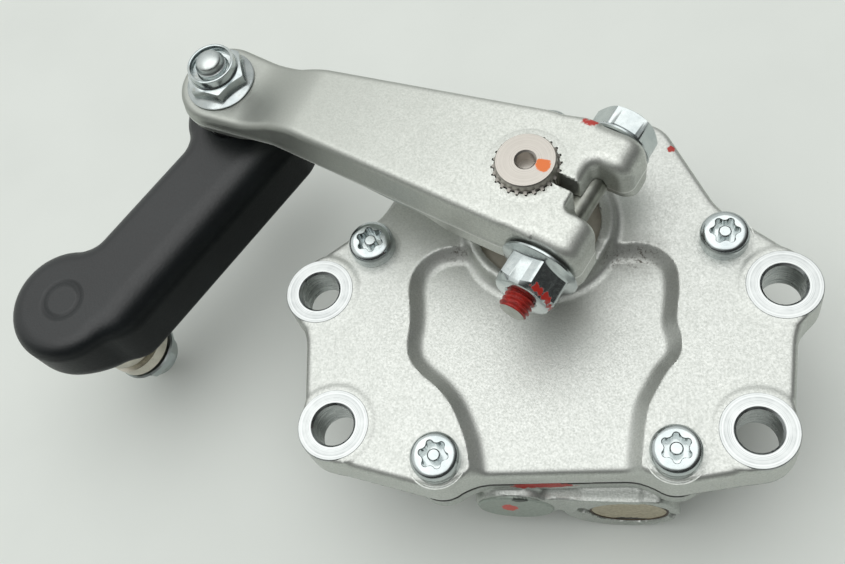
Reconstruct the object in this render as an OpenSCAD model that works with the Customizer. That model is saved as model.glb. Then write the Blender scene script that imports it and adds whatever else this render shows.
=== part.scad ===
// Rotary steering damper with a clamped arm and a ball-jointed drop link.
// Millimetres. Origin: middle of the front pair of mounting holes, on the mounting face.
// Z runs up along the shaft, X across the mounting holes, Y towards the rear.

/* [Mounting lugs] */
// distance between the two rear mounting holes
rear_span = 96; // [84:1:108]
// distance between the two front mounting holes
front_span = 83; // [74:1:92]
// distance between the front and the rear row of holes
row_gap = 30; // [26:0.5:34]
// height from the mounting face to the machined rings
lug_t = 9; // [8:0.5:12]
// diameter of the machined ring round each mounting hole
boss_d = 15; // [13:0.5:17]
// height of the machined rings above the cast face
boss_rise = 0.4; // [0.2:0.1:1]
// cast wall left outside each machined ring
lug_margin = 0.4; // [0.2:0.1:1]
// mounting hole diameter
hole_d = 8.8; // [8.4:0.1:10]
// chamfer at the top of each mounting hole
hole_chamfer = 0.5; // [0.2:0.1:1]

/* [Cover] */
// sideways place of the left and right screws
side_screw_x = 37; // [35:0.5:40]
// place of the left and right screws towards the rear
side_screw_y = 40.6; // [39:0.2:44]
// sideways place of the front left screw
left_screw_x = -19.6; // [-23:0.2:-17]
// place of the front left screw towards the rear
left_screw_y = -6.7; // [-8:0.1:-5]
// sideways place of the front right screw
right_screw_x = 26.2; // [25:0.2:30]
// place of the front right screw towards the rear
right_screw_y = -4.6; // [-7:0.1:-3]
// sideways place of the rear screw
rear_screw_x = 1; // [-2:0.2:2]
// place of the rear screw towards the rear
rear_screw_y = 67.6; // [66:0.2:71]
// radius of the lobe round each screw
lobe_r = 6.2; // [5.8:0.1:7]
// distance of the front wall from the line of the front screws
front_wall = 2.9; // [2.4:0.1:3.4]
// sideways place of the rounded rear corners
rear_corner_x = 20; // [17:0.5:23]
// place of the rounded rear corners towards the rear
rear_corner_y = 62.5; // [60:0.5:64]
// radius of the rounded rear corners
rear_corner_r = 8.2; // [6:0.2:10]
// half width of the recess
recess_half = 27.4; // [25:0.2:29]
// depth of the recess below the cast face
recess_depth = 2.6; // [1.5:0.1:3.5]
// corner radius at the rear of the recess
recess_rear_r = 8.4; // [6:0.2:10]
// place of the rear recess corners towards the rear
recess_rear_y = 30.9; // [29:0.1:33]
// corner radius at the front of the recess
recess_front_r = 5.2; // [4:0.2:7]
// place of the front recess corners towards the rear
recess_front_y = 16.6; // [15:0.1:18]
// left edge of the recess where it runs out at the front
neck_left = -12.2; // [-13:0.1:-9]
// right edge of the recess where it runs out at the front
neck_right = 18.9; // [16:0.1:19.5]
// radius of the collar round the shaft
collar_r = 15.3; // [14.5:0.1:17]
// height of the collar above the mounting face
collar_top = 10.4; // [10:0.1:12]

/* [Cover screws] */
// screw thread diameter
screw_d = 6; // [5:0.5:6.5]
// screw head diameter
screw_head_d = 10; // [9:0.2:11]
// screw head height
screw_head_h = 4.2; // [3:0.1:5]
// depth of the six-lobe recess in the head
screw_key_depth = 2.6; // [1.5:0.1:2.8]
// length of screw in the lower case
screw_reach = 6; // [5:0.5:7]

/* [Lower case] */
// depth of the lower case below the mounting face
case_h = 27; // [26.5:0.5:32]
// thickness of the lower case's flange under the cover
case_flange = 4.8; // [4:0.1:6]
// radius of the oil chamber
chamber_r = 36; // [34:0.5:37]
// half of the angle that the oil chamber spans
chamber_half = 52; // [51:0.5:55]
// depth of the oil chamber
chamber_depth = 16; // [14:0.5:17]
// width of the perimeter seal
seal_w = 1.8; // [1.2:0.1:2.4]
// distance of the perimeter seal from the chamber
seal_off = 2.4; // [1.8:0.1:3]

/* [Shaft and rotor] */
// sideways place of the shaft
shaft_x = -1; // [-3:0.2:1]
// place of the shaft towards the rear
shaft_y = 45; // [44:0.2:47]
// height of the shaft's end above the mounting face
shaft_top = 35; // [34:0.5:38]
// shaft diameter in the cover
journal_d = 14; // [13:0.2:15]
// shaft diameter in the rotor
rotor_seat_d = 16; // [15:0.2:17]
// shaft diameter in the lower bush
tail_d = 12; // [10:0.2:13]
// diameter over the serrations
serration_d = 13.4; // [12:0.1:13.6]
// number of serrations
serrations = 24; // [18:1:32]
// depth of the serrations
serration_depth = 0.45; // [0.3:0.05:0.6]
// centre hole diameter in the shaft's end
centre_hole_d = 4; // [3:0.2:5]
// rotor hub diameter
hub_d = 23.4; // [22:0.2:24]
// vane thickness
vane_t = 8; // [6:0.2:8.4]

/* [Arm] */
// distance between the shaft and the upper ball stud
arm_len = 75; // [70:0.5:80]
// direction of the arm at rest, degrees
arm_dir = 158; // [155:0.5:162]
// thickness of the bar of the arm
arm_t = 11; // [8:0.5:12]
// radius of the clamp round the shaft
clamp_r = 14.3; // [13.5:0.1:16]
// half width of the bar at its neck
neck_r = 7.9; // [7:0.1:9]
// distance of the neck from the line between the shaft and the ball stud
neck_side = 1.4; // [0:0.1:2]
// distance from the shaft to the neck
neck_at = 57; // [54:0.5:58]
// radius of the round pad at the end of the arm
pad_r = 10; // [9.6:0.1:12]
// thickness of the pad
pad_t = 6; // [5:0.2:8]
// length of the slope between the bar and the pad
step_len = 8; // [5:0.5:8]
// direction of the clamp slot, degrees
slot_dir = -28.6; // [-34:0.2:-24]
// width of the clamp slot
slot_w = 2.2; // [1.6:0.1:3]
// distance from the middle of the slot to the seat of the nut
ear_front = 14; // [13:0.2:16]
// distance from the middle of the slot to the seat of the bolt head
ear_rear = 15.6; // [14:0.2:17]
// depth of the pinch bolt below the top of the arm
bolt_drop = 9; // [8:0.1:9.5]
// reach of the ears past the axis of the pinch bolt
ear_reach = 7.2; // [6:0.1:8.5]
// rounding of the outer edges of the ears
ear_edge = 4.8; // [3:0.1:5.4]
// distance from the middle of the slot to the notch's wall at the nut
notch_front = 5.4; // [4:0.1:6]
// distance from the middle of the slot to the notch's wall at the bolt head
notch_rear = 6.6; // [4:0.1:7.5]

/* [Pinch bolt and nuts] */
// pinch bolt thread diameter
pinch_d = 6; // [5:0.5:7]
// thread length past the nut
pinch_end = 5; // [3:0.5:8]
// pinch bolt and nut, width across flats
pinch_af = 12; // [10:0.5:13]
// flange diameter of the pinch bolt and nut
pinch_flange_d = 15.5; // [14:0.1:17]
// height of the pinch bolt's head and nut
pinch_nut_h = 6.2; // [5:0.2:8]
// ball stud thread diameter
stud_d = 8; // [7:0.5:9]
// stud nuts, width across flats
stud_af = 12; // [11:0.5:13]
// flange diameter of the stud nuts
stud_flange_d = 15.6; // [15:0.1:18]
// height of the stud nuts
stud_nut_h = 6.7; // [6:0.1:9]
// flange thickness at the nuts' rims
flange_t = 1.4; // [1:0.1:2]

/* [Link] */
// distance between the two ball studs
link_len = 58.6; // [56:0.2:64]
// direction from the upper to the lower ball stud at rest, degrees
link_dir = 235.7; // [230:0.5:238]
// radius of the link cover's round ends
link_r = 13.4; // [13:0.1:15]
// distance of the link's inner edge from the line between the studs
link_inset = 4.6; // [4:0.1:7]
// height of the link cover's top above the mounting face
link_top = 18; // [17:0.2:18.4]
// height of the link cover
link_h = 17.6; // [17:0.2:20]
// wall of the link cover
link_wall = 1.5; // [1.2:0.1:1.8]
// radius of the lower round end at its underside
link_foot_r = 9.6; // [9.2:0.1:11]
// height of the taper at the lower round end
link_foot_h = 7.6; // [5:0.2:8]
// ball diameter
ball_d = 12; // [11:0.1:12]
// ball race wall at its thinnest
race_wall = 1.6; // [1.2:0.1:1.8]
// collar diameter of the ball studs
stud_collar_d = 15; // [13:0.2:17]
// collar thickness of the ball studs
stud_collar_t = 3; // [2:0.2:4]
// room for a bracket between the lower collar and its nut
bracket_room = 7; // [4:0.5:7.5]
// lean of the lower ball stud at rest, degrees
stud_lean = 11; // [0:0.5:12]
// direction of that lean, degrees
lean_dir = 20; // [0:5:90]

/* [Valves] */
// sideways place of the accumulator
acc_x = 17; // [16:0.2:17.4]
// sideways place of the accumulator's boss
acc_boss_x = 15.4; // [15:0.1:17]
// depth of the accumulator's axis below the mounting face
acc_z = 14.5; // [14:0.1:14.8]
// accumulator bore
acc_d = 16; // [14:0.2:17]
// wall round the accumulator bore
acc_wall = 4.2; // [3.5:0.1:4.8]
// depth of the accumulator bore
acc_depth = 17; // [16.5:0.5:19]
// travel of the accumulator piston
acc_travel = 2; // [1:0.1:2.2]
// sideways place of the relief valve
relief_x = -6; // [-7:0.2:-4.6]
// depth of the relief valve's axis below the mounting face
relief_z = 11; // [10:0.1:13]
// relief valve bore
relief_d = 11; // [10:0.2:12]
// plug head diameter
plug_d = 16; // [14:0.2:17]
// thickness of the plug's head
plug_t = 1; // [0.8:0.1:2]
// how far the valve bosses stand in front of the cover
boss_front = 0.9; // [0.6:0.1:2]
// check valve bore
check_d = 4.8; // [4:0.1:5.2]
// distance of the check valves from the shaft
check_at = 28; // [26:0.5:30]
// angle of the check valves from the middle of the chamber
check_turn = 42; // [40:0.5:43]
// lift of the check balls
check_lift = 0.8; // [0.4:0.1:1]

/* [Clearances] */
// running clearance of shafts and balls
run = 0.06; // [0.03:0.01:0.1]
// gap between parts that are pressed or seated together
seat = 0.02; // [0.01:0.01:0.04]
// gap between moving parts that do not guide each other
free = 0.35; // [0.3:0.05:0.5]
// clearance of bolts in their holes
bolt_gap = 0.3; // [0.2:0.05:0.5]

/* [Hidden] */
$fn = 64;
big = 200;
eps = 0.01;
past = 1;
// how far a strip's edge lies inside the circles that it joins
tuck = 0.05;
face_z = lug_t - boss_rise;
boss_r = boss_d / 2;
lug_r = boss_r + lug_margin;
boss_pos = [
    [-rear_span / 2, row_gap],
    [rear_span / 2, row_gap],
    [-front_span / 2, 0],
    [front_span / 2, 0]
];
screw_pos = [
    [-side_screw_x, side_screw_y],
    [side_screw_x, side_screw_y],
    [left_screw_x, left_screw_y],
    [right_screw_x, right_screw_y],
    [rear_screw_x, rear_screw_y]
];
corner_pos = [
    [-rear_corner_x, rear_corner_y],
    [rear_corner_x, rear_corner_y]
];
// left side of the lug plate, drawn in towards the rear lugs
side_in_rear = lug_r / 2;
side_in_front = lug_r - 0.6;

// screw heads and their seats
spot_depth = 0.4;
spot_r = screw_head_d / 2 + 0.5;
lug_relief = 0.5;
lug_pad_r = lug_r - 1.1;
screw_seat = face_z - spot_depth;
screw_key_r = 0.2 * screw_head_d;
screw_lobe_r = 0.16 * screw_key_r * 2.2;
screw_pin_r = 0.5 * screw_key_r;
head_edge = 0.8;

// stack along the shaft
washer_t = 1;
rotor_low = -chamber_depth + washer_t + run;
rotor_high = -washer_t - run;
tail_room = 3;
tail_low = -case_h + tail_room;
bush_wall = 2;
tail_bush_r = tail_d / 2 + bush_wall;
journal_r = journal_d / 2;
cover_bush_r = journal_r + bush_wall;
bush_top = 0.42 * lug_t;
oil_seal_r = cover_bush_r + 1.8;
oil_seal_top = bush_top + 0.3 * lug_t;
collar_wall = 2;
dust_r = collar_r - collar_wall;
dust_seal_t = 2;
dust_top = oil_seal_top + dust_seal_t;
shaft_show = 2;
clamp_drop = 3;
bar_top = shaft_top - shaft_show;
bar_low = bar_top - arm_t;
clamp_low = bar_low - clamp_drop;
pad_top = bar_low + pad_t;
step_back = 3;
shaft_edge = 0.9;
centre_hole_deep = 5;
hub_r = hub_d / 2;
pocket_r = hub_r + free;
vane_r = chamber_r - 1.5;
tip_r = chamber_r - free;
tip_slot = 3;
tip_t = 0.4 * vane_t;

// arm, bolt and link places
shaft_pos = [shaft_x, shaft_y, 0];
upper_pos = [shaft_x + arm_len * cos(arm_dir), shaft_y + arm_len * sin(arm_dir), 0];
lower_pos = [upper_pos[0] + link_len * cos(link_dir), upper_pos[1] + link_len * sin(link_dir), 0];
bolt_r = pinch_d / 2;
bolt_u = serration_d / 2 + bolt_r + 1.5;
bolt_z = bar_top - bolt_drop;
ear_low = bolt_z - ear_reach;
journal_top = ear_low - free;
bolt_hole_r = bolt_r + bolt_gap;
ear_end = bolt_u + ear_reach;
ear_from = bolt_u - 2;
notch_edge = 1.6;
pinch_nut_turn = 15;
pinch_head_turn = 8.5;
upper_nut_turn = 46;
stud_r = stud_d / 2;
pinch_hex_r = pinch_af / 2 / cos(30);
stud_hex_r = stud_af / 2 / cos(30);

// ball joints, upper one opening upwards and lower one downwards
link_low = link_top - link_h;
core_top = link_top - link_wall;
core_low = link_low + link_wall;
core_r = link_r - link_wall;
ball_r = ball_d / 2;
race_r = ball_r + race_wall;
lip_t = 1.2;
plate_t = 1.2;
race_len = core_top - core_low - lip_t - plate_t;
upper_ball_z = core_top - lip_t - race_len / 2;
lower_ball_z = core_low + lip_t + race_len / 2;
neck_stud_r = 0.3 * ball_d;
mouth_r = ball_r - 0.35;
mouth_cover_r = link_foot_r - link_wall;
boot_in = neck_stud_r + free;
collar_r_stud = stud_collar_d / 2;
boot_low_r = collar_r_stud;
boot_seat_r = mouth_cover_r - free;
lean_drop = boot_seat_r * tan(stud_lean) + free;
upper_collar_low = bar_low - stud_collar_t;
stud_stand = 4.7;
lower_reach = lower_ball_z - link_low + stud_stand;
lower_nut_at = lower_reach + stud_collar_t + bracket_room;
foot_slope = (link_r - link_foot_r) / link_foot_h;
stud_past = 1.8;
shank_step = 3;
core_shank_low = core_low + shank_step;
core_shank_top = core_top - shank_step;
mark_r = 4.6;
mark_w = 0.7;
mark_depth = 0.3;

// lower case: wall of its body round the chamber, and the screw bosses under its flange
case_wall = seal_off + seal_w + 1.2;
screw_boss = screw_reach + 2.5;
screw_boss_r = screw_d / 2 + 1.8;

// front valve bosses
front_y = min(left_screw_y, right_screw_y) - front_wall;
acc_r = acc_d / 2;
acc_boss_r = acc_r + acc_wall;
boss_face = front_y - boss_front;
acc_end = boss_face + acc_depth;
boss_root = 8;
ring_t = 1;
ring_groove = 0.8;
ring_y = boss_face + 0.9;
cap_y = ring_y + ring_t;
cap_t = 3;
piston_t = 4;
piston_y = acc_end - piston_t - 0.2;
oring_t = 1.4;
spring_wire = 1;
spring_r = 0.66 * acc_r;
spring_turns = 4;
relief_r = relief_d / 2;
relief_boss_r = plug_d / 2 + 0.5;
relief_depth = 17;
relief_end = boss_face + relief_depth;
relief_seat_t = 3;
relief_ball_r = 2.5;
relief_hole_r = 1.6;
relief_ball_y = relief_end - relief_seat_t - 0.5 * relief_ball_r - run;
plug_body = 6;
relief_wire = 0.8;
relief_spring_r = 2.1;
relief_turns = 3;
passage_r = 1.25;
check_r = check_d / 2;
check_pos = [
    [shaft_x - check_at * sin(check_turn), shaft_y - check_at * cos(check_turn)],
    [shaft_x + check_at * sin(check_turn), shaft_y - check_at * cos(check_turn)]
];
check_deep = 7;
check_low = -chamber_depth - check_deep;
check_seat_t = 2;
check_ball_r = 0.66 * check_r;
check_hole_r = 0.6 * check_ball_r;
check_ball_z = check_low + check_seat_t + 0.75 * check_ball_r + run;
check_stop_low = check_ball_z + check_ball_r + check_lift + run;
gallery_r = 1;
gallery_z = check_low - 1.3;

function dir(a) = [cos(a), sin(a)];
function flat(p) = [p[0], p[1]];
// corners of the strip between two circles, along their outer tangents
function strip(a, ra, b, rb) =
    let (d = b - a, t = atan2(d[1], d[0]), f = acos((ra - rb) / norm(d)))
    [a + ra * dir(t + f), b + rb * dir(t + f), b + rb * dir(t - f), a + ra * dir(t - f)];

module web(a, ra, b, rb) {
    polygon(strip(a, ra - tuck, b, rb - tuck));
}

module spots(places) {
    for (p = places) translate([p[0], p[1], 0]) children();
}

module at_shaft() {
    translate(shaft_pos) children();
}

module at_arm() {
    translate(shaft_pos) rotate(arm_dir) children();
}

// X along the clamp slot, Y along the pinch bolt towards its head
module at_clamp() {
    translate(shaft_pos) rotate(slot_dir) children();
}

// X from the lower to the upper stud, Y to the link's inset side
module at_link() {
    translate(lower_pos) rotate(link_dir - 180) children();
}

// Z along +Y of the part, for the front bosses
module facing_back(x, y, z) {
    translate([x, y, z]) rotate([-90, 0, 0]) children();
}

// closed tube along a helix of round wire, flat ended, on the Z axis
module coil(r, wire, height, turns) {
    steps = 8 * turns;
    sides = 6;
    rise = height - wire;
    pts = [
        for (i = [0:steps], k = [0:sides - 1])
            let (a = 360 * i / 8, b = 360 * k / sides)
            [
                (r + wire / 2 * cos(b)) * cos(a),
                (r + wire / 2 * cos(b)) * sin(a),
                wire / 2 + rise * i / steps + wire / 2 * sin(b)
            ]
    ];
    walls = [
        for (i = [0:steps - 1], k = [0:sides - 1])
            let (m = (k + 1) % sides, p = i * sides, q = p + sides)
            each [[p + k, p + m, q + m], [p + k, q + m, q + k]]
    ];
    first = [for (k = [1:sides - 2]) [0, k + 1, k]];
    last = [for (k = [1:sides - 2]) let (p = steps * sides) [p, p + k, p + k + 1]];
    echo(str("least gap between turns ", rise / turns - wire));
    polyhedron(points = pts, faces = concat(walls, first, last), convexity = 10);
}

// ring of the given section between two radii, standing on z
module ring(r_out, r_in, z, h) {
    translate([0, 0, z])
        difference() {
            cylinder(r = r_out, h = h);
            translate([0, 0, -1]) cylinder(r = r_in, h = h + 2);
        }
}

// flange nut standing on z = 0
module flange_nut(hex_r, flange_r, h, bore) {
    difference() {
        union() {
            cylinder(r = flange_r, h = flange_t);
            translate([0, 0, flange_t]) cylinder(r1 = flange_r - 0.4, r2 = hex_r - 0.3, h = flange_t);
            intersection() {
                cylinder(r = hex_r, h = h, $fn = 6);
                cylinder(r1 = hex_r + h - flange_t, r2 = hex_r * cos(30) - 0.2, h = h + 0.6);
            }
        }
        translate([0, 0, -1]) cylinder(r = bore, h = h + 2);
    }
}

// plan of the cover, lugs and screw lobes included
module cover_plan() {
    for (p = boss_pos) translate(p) circle(lug_r);
    for (p = screw_pos) translate(p) circle(lobe_r);
    for (p = corner_pos) translate(p) circle(rear_corner_r);
    for (i = [0:3]) web(boss_pos[i], lug_r, screw_pos[i], lobe_r);
    for (i = [0:1]) web(boss_pos[i], side_in_rear, boss_pos[i + 2], side_in_front);
    for (i = [0:1]) web(screw_pos[i], lobe_r / 2, corner_pos[i], rear_corner_r);
    web(corner_pos[0], rear_corner_r, corner_pos[1], rear_corner_r);
    web(screw_pos[2], front_wall, screw_pos[3], front_wall);
    polygon([
        screw_pos[0], boss_pos[0], boss_pos[2], screw_pos[2], screw_pos[3],
        boss_pos[3], boss_pos[1], screw_pos[1], corner_pos[1], corner_pos[0]
    ]);
}

// plan of the lower case, clear of the mounting lugs, grown by the given distance
module case_plan(grow) {
    lobe = lobe_r + grow;
    corner = rear_corner_r + grow;
    wall = front_wall + grow;
    for (p = screw_pos) translate(p) circle(lobe);
    for (p = corner_pos) translate(p) circle(corner);
    for (i = [0:1]) web(screw_pos[i], lobe, screw_pos[i + 2], lobe);
    for (i = [0:1]) web(screw_pos[i], lobe_r / 2 + grow, corner_pos[i], corner);
    web(corner_pos[0], corner, corner_pos[1], corner);
    web(screw_pos[2], wall, screw_pos[3], wall);
    polygon([
        screw_pos[0], screw_pos[2], screw_pos[3], screw_pos[1], corner_pos[1], corner_pos[0]
    ]);
}

// plan of the recess in the cover's face
module recess_plan() {
    rear = [[-recess_half + recess_rear_r, recess_rear_y], [recess_half - recess_rear_r, recess_rear_y]];
    front = [[-recess_half + recess_front_r, recess_front_y], [recess_half - recess_front_r, recess_front_y]];
    mid = 0.5 * (recess_front_y - recess_front_r);
    join_y = recess_front_y - recess_front_r + 3 * tuck;
    flare_left = -0.36 * neck_left;
    flare_right = 0.11 * neck_right;
    out_y = front_y - lobe_r;
    for (p = rear) translate(p) circle(recess_rear_r);
    for (p = front) translate(p) circle(recess_front_r);
    for (i = [0:1]) web(rear[i], recess_rear_r, front[i], recess_front_r);
    web(rear[0], recess_rear_r, rear[1], recess_rear_r);
    web(front[0], recess_front_r, front[1], recess_front_r);
    polygon([
        [-recess_half + recess_front_r, join_y],
        [neck_left - flare_left, mid],
        [neck_left, front_y + front_wall],
        [neck_left, out_y],
        [neck_right, out_y],
        [neck_right, front_y + front_wall],
        [neck_right + flare_right, mid],
        [recess_half - recess_front_r, join_y]
    ]);
    polygon(concat(rear, [front[1], front[0]]));
}

// chamber plan round the shaft, grown by the given distance
module chamber_plan(grow) {
    back = grow / sin(chamber_half);
    circle(pocket_r + grow);
    intersection() {
        circle(chamber_r + grow);
        polygon([
            [0, back],
            [-big * sin(chamber_half), back - big * cos(chamber_half)],
            [big * sin(chamber_half), back - big * cos(chamber_half)]
        ]);
    }
}

module top_cover() {
    color("gainsboro")
        difference() {
            union() {
                difference() {
                    linear_extrude(face_z) cover_plan();
                    translate([0, 0, face_z - recess_depth]) linear_extrude(big) recess_plan();
                }
                spots(boss_pos) cylinder(r = boss_r, h = lug_t);
                at_shaft() cylinder(r = collar_r, h = collar_top);
            }
            translate([0, 0, -1])
                linear_extrude(1 + lug_relief)
                    difference() {
                        square(big, center = true);
                        case_plan(free);
                        for (p = boss_pos) translate(p) circle(lug_pad_r);
                    }
            spots(boss_pos) {
                translate([0, 0, -1]) cylinder(d = hole_d, h = big);
                translate([0, 0, lug_t - hole_chamfer])
                    cylinder(d1 = hole_d, d2 = hole_d + 4 * hole_chamfer, h = 2 * hole_chamfer);
            }
            spots(screw_pos) {
                translate([0, 0, -1]) cylinder(r = screw_d / 2 + bolt_gap, h = big);
                translate([0, 0, screw_seat]) cylinder(r = spot_r, h = big);
            }
            at_shaft() {
                translate([0, 0, -1]) cylinder(r = cover_bush_r + seat, h = big);
                translate([0, 0, bush_top]) cylinder(r = oil_seal_r + seat, h = big);
                translate([0, 0, oil_seal_top]) cylinder(r = dust_r + seat, h = big);
            }
        }
}

module lower_case() {
    color("silver")
        difference() {
            union() {
                translate([0, 0, -case_flange]) linear_extrude(case_flange) case_plan(0);
                translate([0, 0, -case_h]) linear_extrude(case_h - past) at_shaft() chamber_plan(case_wall);
                spots(screw_pos)
                    translate([0, 0, -screw_boss])
                        cylinder(r1 = screw_boss_r, r2 = lobe_r - free, h = screw_boss - case_flange + tuck);
                facing_back(acc_boss_x, boss_face, -acc_z) cylinder(r = acc_boss_r, h = acc_depth + boss_root);
                facing_back(relief_x, boss_face, -relief_z) cylinder(r = relief_boss_r, h = relief_depth + tuck);
            }
            at_shaft() {
                translate([0, 0, -chamber_depth]) linear_extrude(big) chamber_plan(0);
                translate([0, 0, tail_low]) cylinder(r = tail_bush_r + seat, h = big);
            }
            translate([0, 0, -seal_w])
                linear_extrude(big)
                    at_shaft()
                        difference() {
                            chamber_plan(seal_off + seal_w + seat);
                            chamber_plan(seal_off - seat);
                        }
            spots(screw_pos) translate([0, 0, -screw_reach - 1]) cylinder(r = screw_d / 2 + seat, h = big);
            facing_back(acc_x, boss_face, -acc_z) {
                translate([0, 0, -1]) cylinder(r = acc_r, h = acc_depth + 1);
                cylinder(r = passage_r, h = shaft_y - boss_face - chamber_r * 0.7);
                translate([0, 0, ring_y - boss_face]) cylinder(r = acc_r + ring_groove, h = ring_t + seat);
            }
            facing_back(relief_x, boss_face, -relief_z) {
                translate([0, 0, -1]) cylinder(r = relief_r, h = relief_depth + 1);
                cylinder(r = relief_hole_r, h = shaft_y - boss_face - chamber_r * 0.8);
            }
            spots(check_pos) {
                translate([0, 0, check_low]) cylinder(r = check_r, h = check_deep + 1);
                translate([0, 0, gallery_z]) cylinder(r = gallery_r, h = check_deep);
            }
            translate([check_pos[0][0], check_pos[0][1], gallery_z])
                rotate([0, 90, 0]) cylinder(r = gallery_r, h = check_pos[1][0] - check_pos[0][0]);
        }
}

module perimeter_seal() {
    color("dimgray")
        translate([0, 0, -seal_w])
            linear_extrude(seal_w)
                at_shaft()
                    difference() {
                        chamber_plan(seal_off + seal_w);
                        chamber_plan(seal_off);
                    }
}

module cover_screws() {
    color("lightgray")
        spots(screw_pos) {
            translate([0, 0, -screw_reach]) cylinder(d = screw_d, h = screw_reach + screw_seat);
            translate([0, 0, screw_seat])
                difference() {
                    union() {
                        cylinder(d = screw_head_d, h = screw_head_h - head_edge);
                        translate([0, 0, screw_head_h - head_edge])
                            cylinder(d1 = screw_head_d, d2 = screw_head_d - 2 * head_edge, h = head_edge);
                    }
                    translate([0, 0, screw_head_h - screw_key_depth])
                        difference() {
                            union() {
                                cylinder(r = screw_key_r, h = big);
                                for (k = [0:5])
                                    rotate(60 * k) translate([screw_key_r, 0, 0]) cylinder(r = screw_lobe_r, h = big);
                            }
                            cylinder(r = screw_pin_r, h = screw_key_depth);
                        }
                }
        }
}

module cover_bush() {
    color("peru") at_shaft() ring(cover_bush_r, journal_r + run, 0, bush_top);
}

module case_bush() {
    color("peru") at_shaft() ring(tail_bush_r, tail_d / 2 + run, tail_low, -chamber_depth - tail_low);
}

module oil_seal() {
    color("black") at_shaft() ring(oil_seal_r, journal_r + run, bush_top, oil_seal_top - bush_top);
}

module dust_seal() {
    color("dimgray") at_shaft() ring(dust_r, journal_r + run, oil_seal_top, dust_top - oil_seal_top);
}

module thrust_washers() {
    color("goldenrod")
        at_shaft() {
            ring(hub_r - 1, tail_d / 2 + free, -chamber_depth, washer_t);
            ring(hub_r - 1, journal_r + free, -washer_t, washer_t);
        }
}

module front_plug() {
    slot = 1.2;
    color("silver")
        facing_back(relief_x, boss_face - plug_t, -relief_z)
            difference() {
                union() {
                    cylinder(d = plug_d, h = plug_t);
                    cylinder(r = relief_r - seat - oring_t, h = plug_t + 2 * oring_t);
                    translate([0, 0, plug_t + oring_t]) cylinder(r = relief_r - seat, h = plug_body - oring_t);
                }
                translate([-slot / 2, -plug_d / 6, -1]) cube([slot, plug_d / 3, 1 + plug_t / 2]);
            }
}

module plug_ring() {
    color("black")
        facing_back(relief_x, boss_face, -relief_z)
            ring(relief_r - seat, relief_r - oring_t, eps, oring_t - 2 * eps);
}

module relief_seat() {
    color("lightgray")
        facing_back(relief_x, relief_end - relief_seat_t, -relief_z)
            difference() {
                cylinder(r = relief_r - seat, h = relief_seat_t);
                translate([0, 0, -1]) cylinder(r = relief_hole_r, h = relief_seat_t + 2);
                translate([0, 0, -0.5 * relief_ball_r - run]) sphere(r = relief_ball_r + run);
            }
}

module relief_ball() {
    color("lightsteelblue") translate([relief_x, relief_ball_y, -relief_z]) sphere(r = relief_ball_r);
}

module relief_spring() {
    low = boss_face + plug_body;
    high = relief_ball_y - relief_ball_r + 0.6;
    color("gray")
        facing_back(relief_x, low + run, -relief_z)
            coil(relief_spring_r, relief_wire, high - low - 2 * run, relief_turns);
}

module accumulator_cap() {
    color("wheat")
        facing_back(acc_x, cap_y, -acc_z)
            difference() {
                cylinder(r = acc_r - seat, h = cap_t);
                ring(acc_r + 1, acc_r - oring_t, 0.5 * (cap_t - oring_t), oring_t);
            }
}

module cap_ring() {
    color("black")
        facing_back(acc_x, cap_y, -acc_z)
            ring(acc_r - seat, acc_r - oring_t + seat, 0.5 * (cap_t - oring_t) + seat, oring_t - 2 * seat);
}

module snap_ring() {
    gap_w = 3;
    color("dimgray")
        facing_back(acc_x, ring_y, -acc_z)
            difference() {
                ring(acc_r + ring_groove - seat, acc_r - 1.2, 0, ring_t - seat);
                translate([-gap_w / 2, 0, -1]) cube([gap_w, acc_d, ring_t + 2]);
            }
}

module accumulator_spring() {
    low = cap_y + cap_t;
    color("gray")
        facing_back(acc_x, low + run, -acc_z)
            coil(spring_r, spring_wire, piston_y - low - 2 * run, spring_turns);
}

module accumulator_piston() {
    color("lightgray")
        facing_back(acc_x, piston_y, -acc_z)
            difference() {
                cylinder(r = acc_r - run, h = piston_t);
                ring(acc_r + 1, acc_r - oring_t, 0.5 * (piston_t - oring_t), oring_t);
            }
}

module piston_ring() {
    color("black")
        facing_back(acc_x, piston_y, -acc_z)
            ring(acc_r - run, acc_r - oring_t + seat, 0.5 * (piston_t - oring_t) + seat, oring_t - 2 * seat);
}

module check_seats() {
    color("lightgray")
        spots(check_pos)
            difference() {
                translate([0, 0, check_low]) cylinder(r = check_r - seat, h = check_seat_t);
                translate([0, 0, check_low - 1]) cylinder(r = check_hole_r, h = check_seat_t + 2);
                translate([0, 0, check_ball_z]) sphere(r = check_ball_r + run);
            }
}

module check_stops() {
    color("lightgray")
        spots(check_pos) ring(check_r - seat, check_hole_r, check_stop_low, -chamber_depth - check_stop_low);
}

module check_ball_left() {
    color("lightsteelblue")
        translate([check_pos[0][0], check_pos[0][1], check_ball_z]) sphere(r = check_ball_r);
}

module check_ball_right() {
    color("lightsteelblue")
        translate([check_pos[1][0], check_pos[1][1], check_ball_z]) sphere(r = check_ball_r);
}

// serrated disc, one tooth and one gap per pitch
module serration_plan(tip) {
    root = tip - serration_depth;
    pitch = 360 / serrations;
    polygon([
        for (k = [0:serrations - 1])
            each [
                tip * dir(pitch * (k - 0.2)),
                tip * dir(pitch * (k + 0.2)),
                root * dir(pitch * (k + 0.35)),
                root * dir(pitch * (k + 0.65))
            ]
    ]);
}

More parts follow.
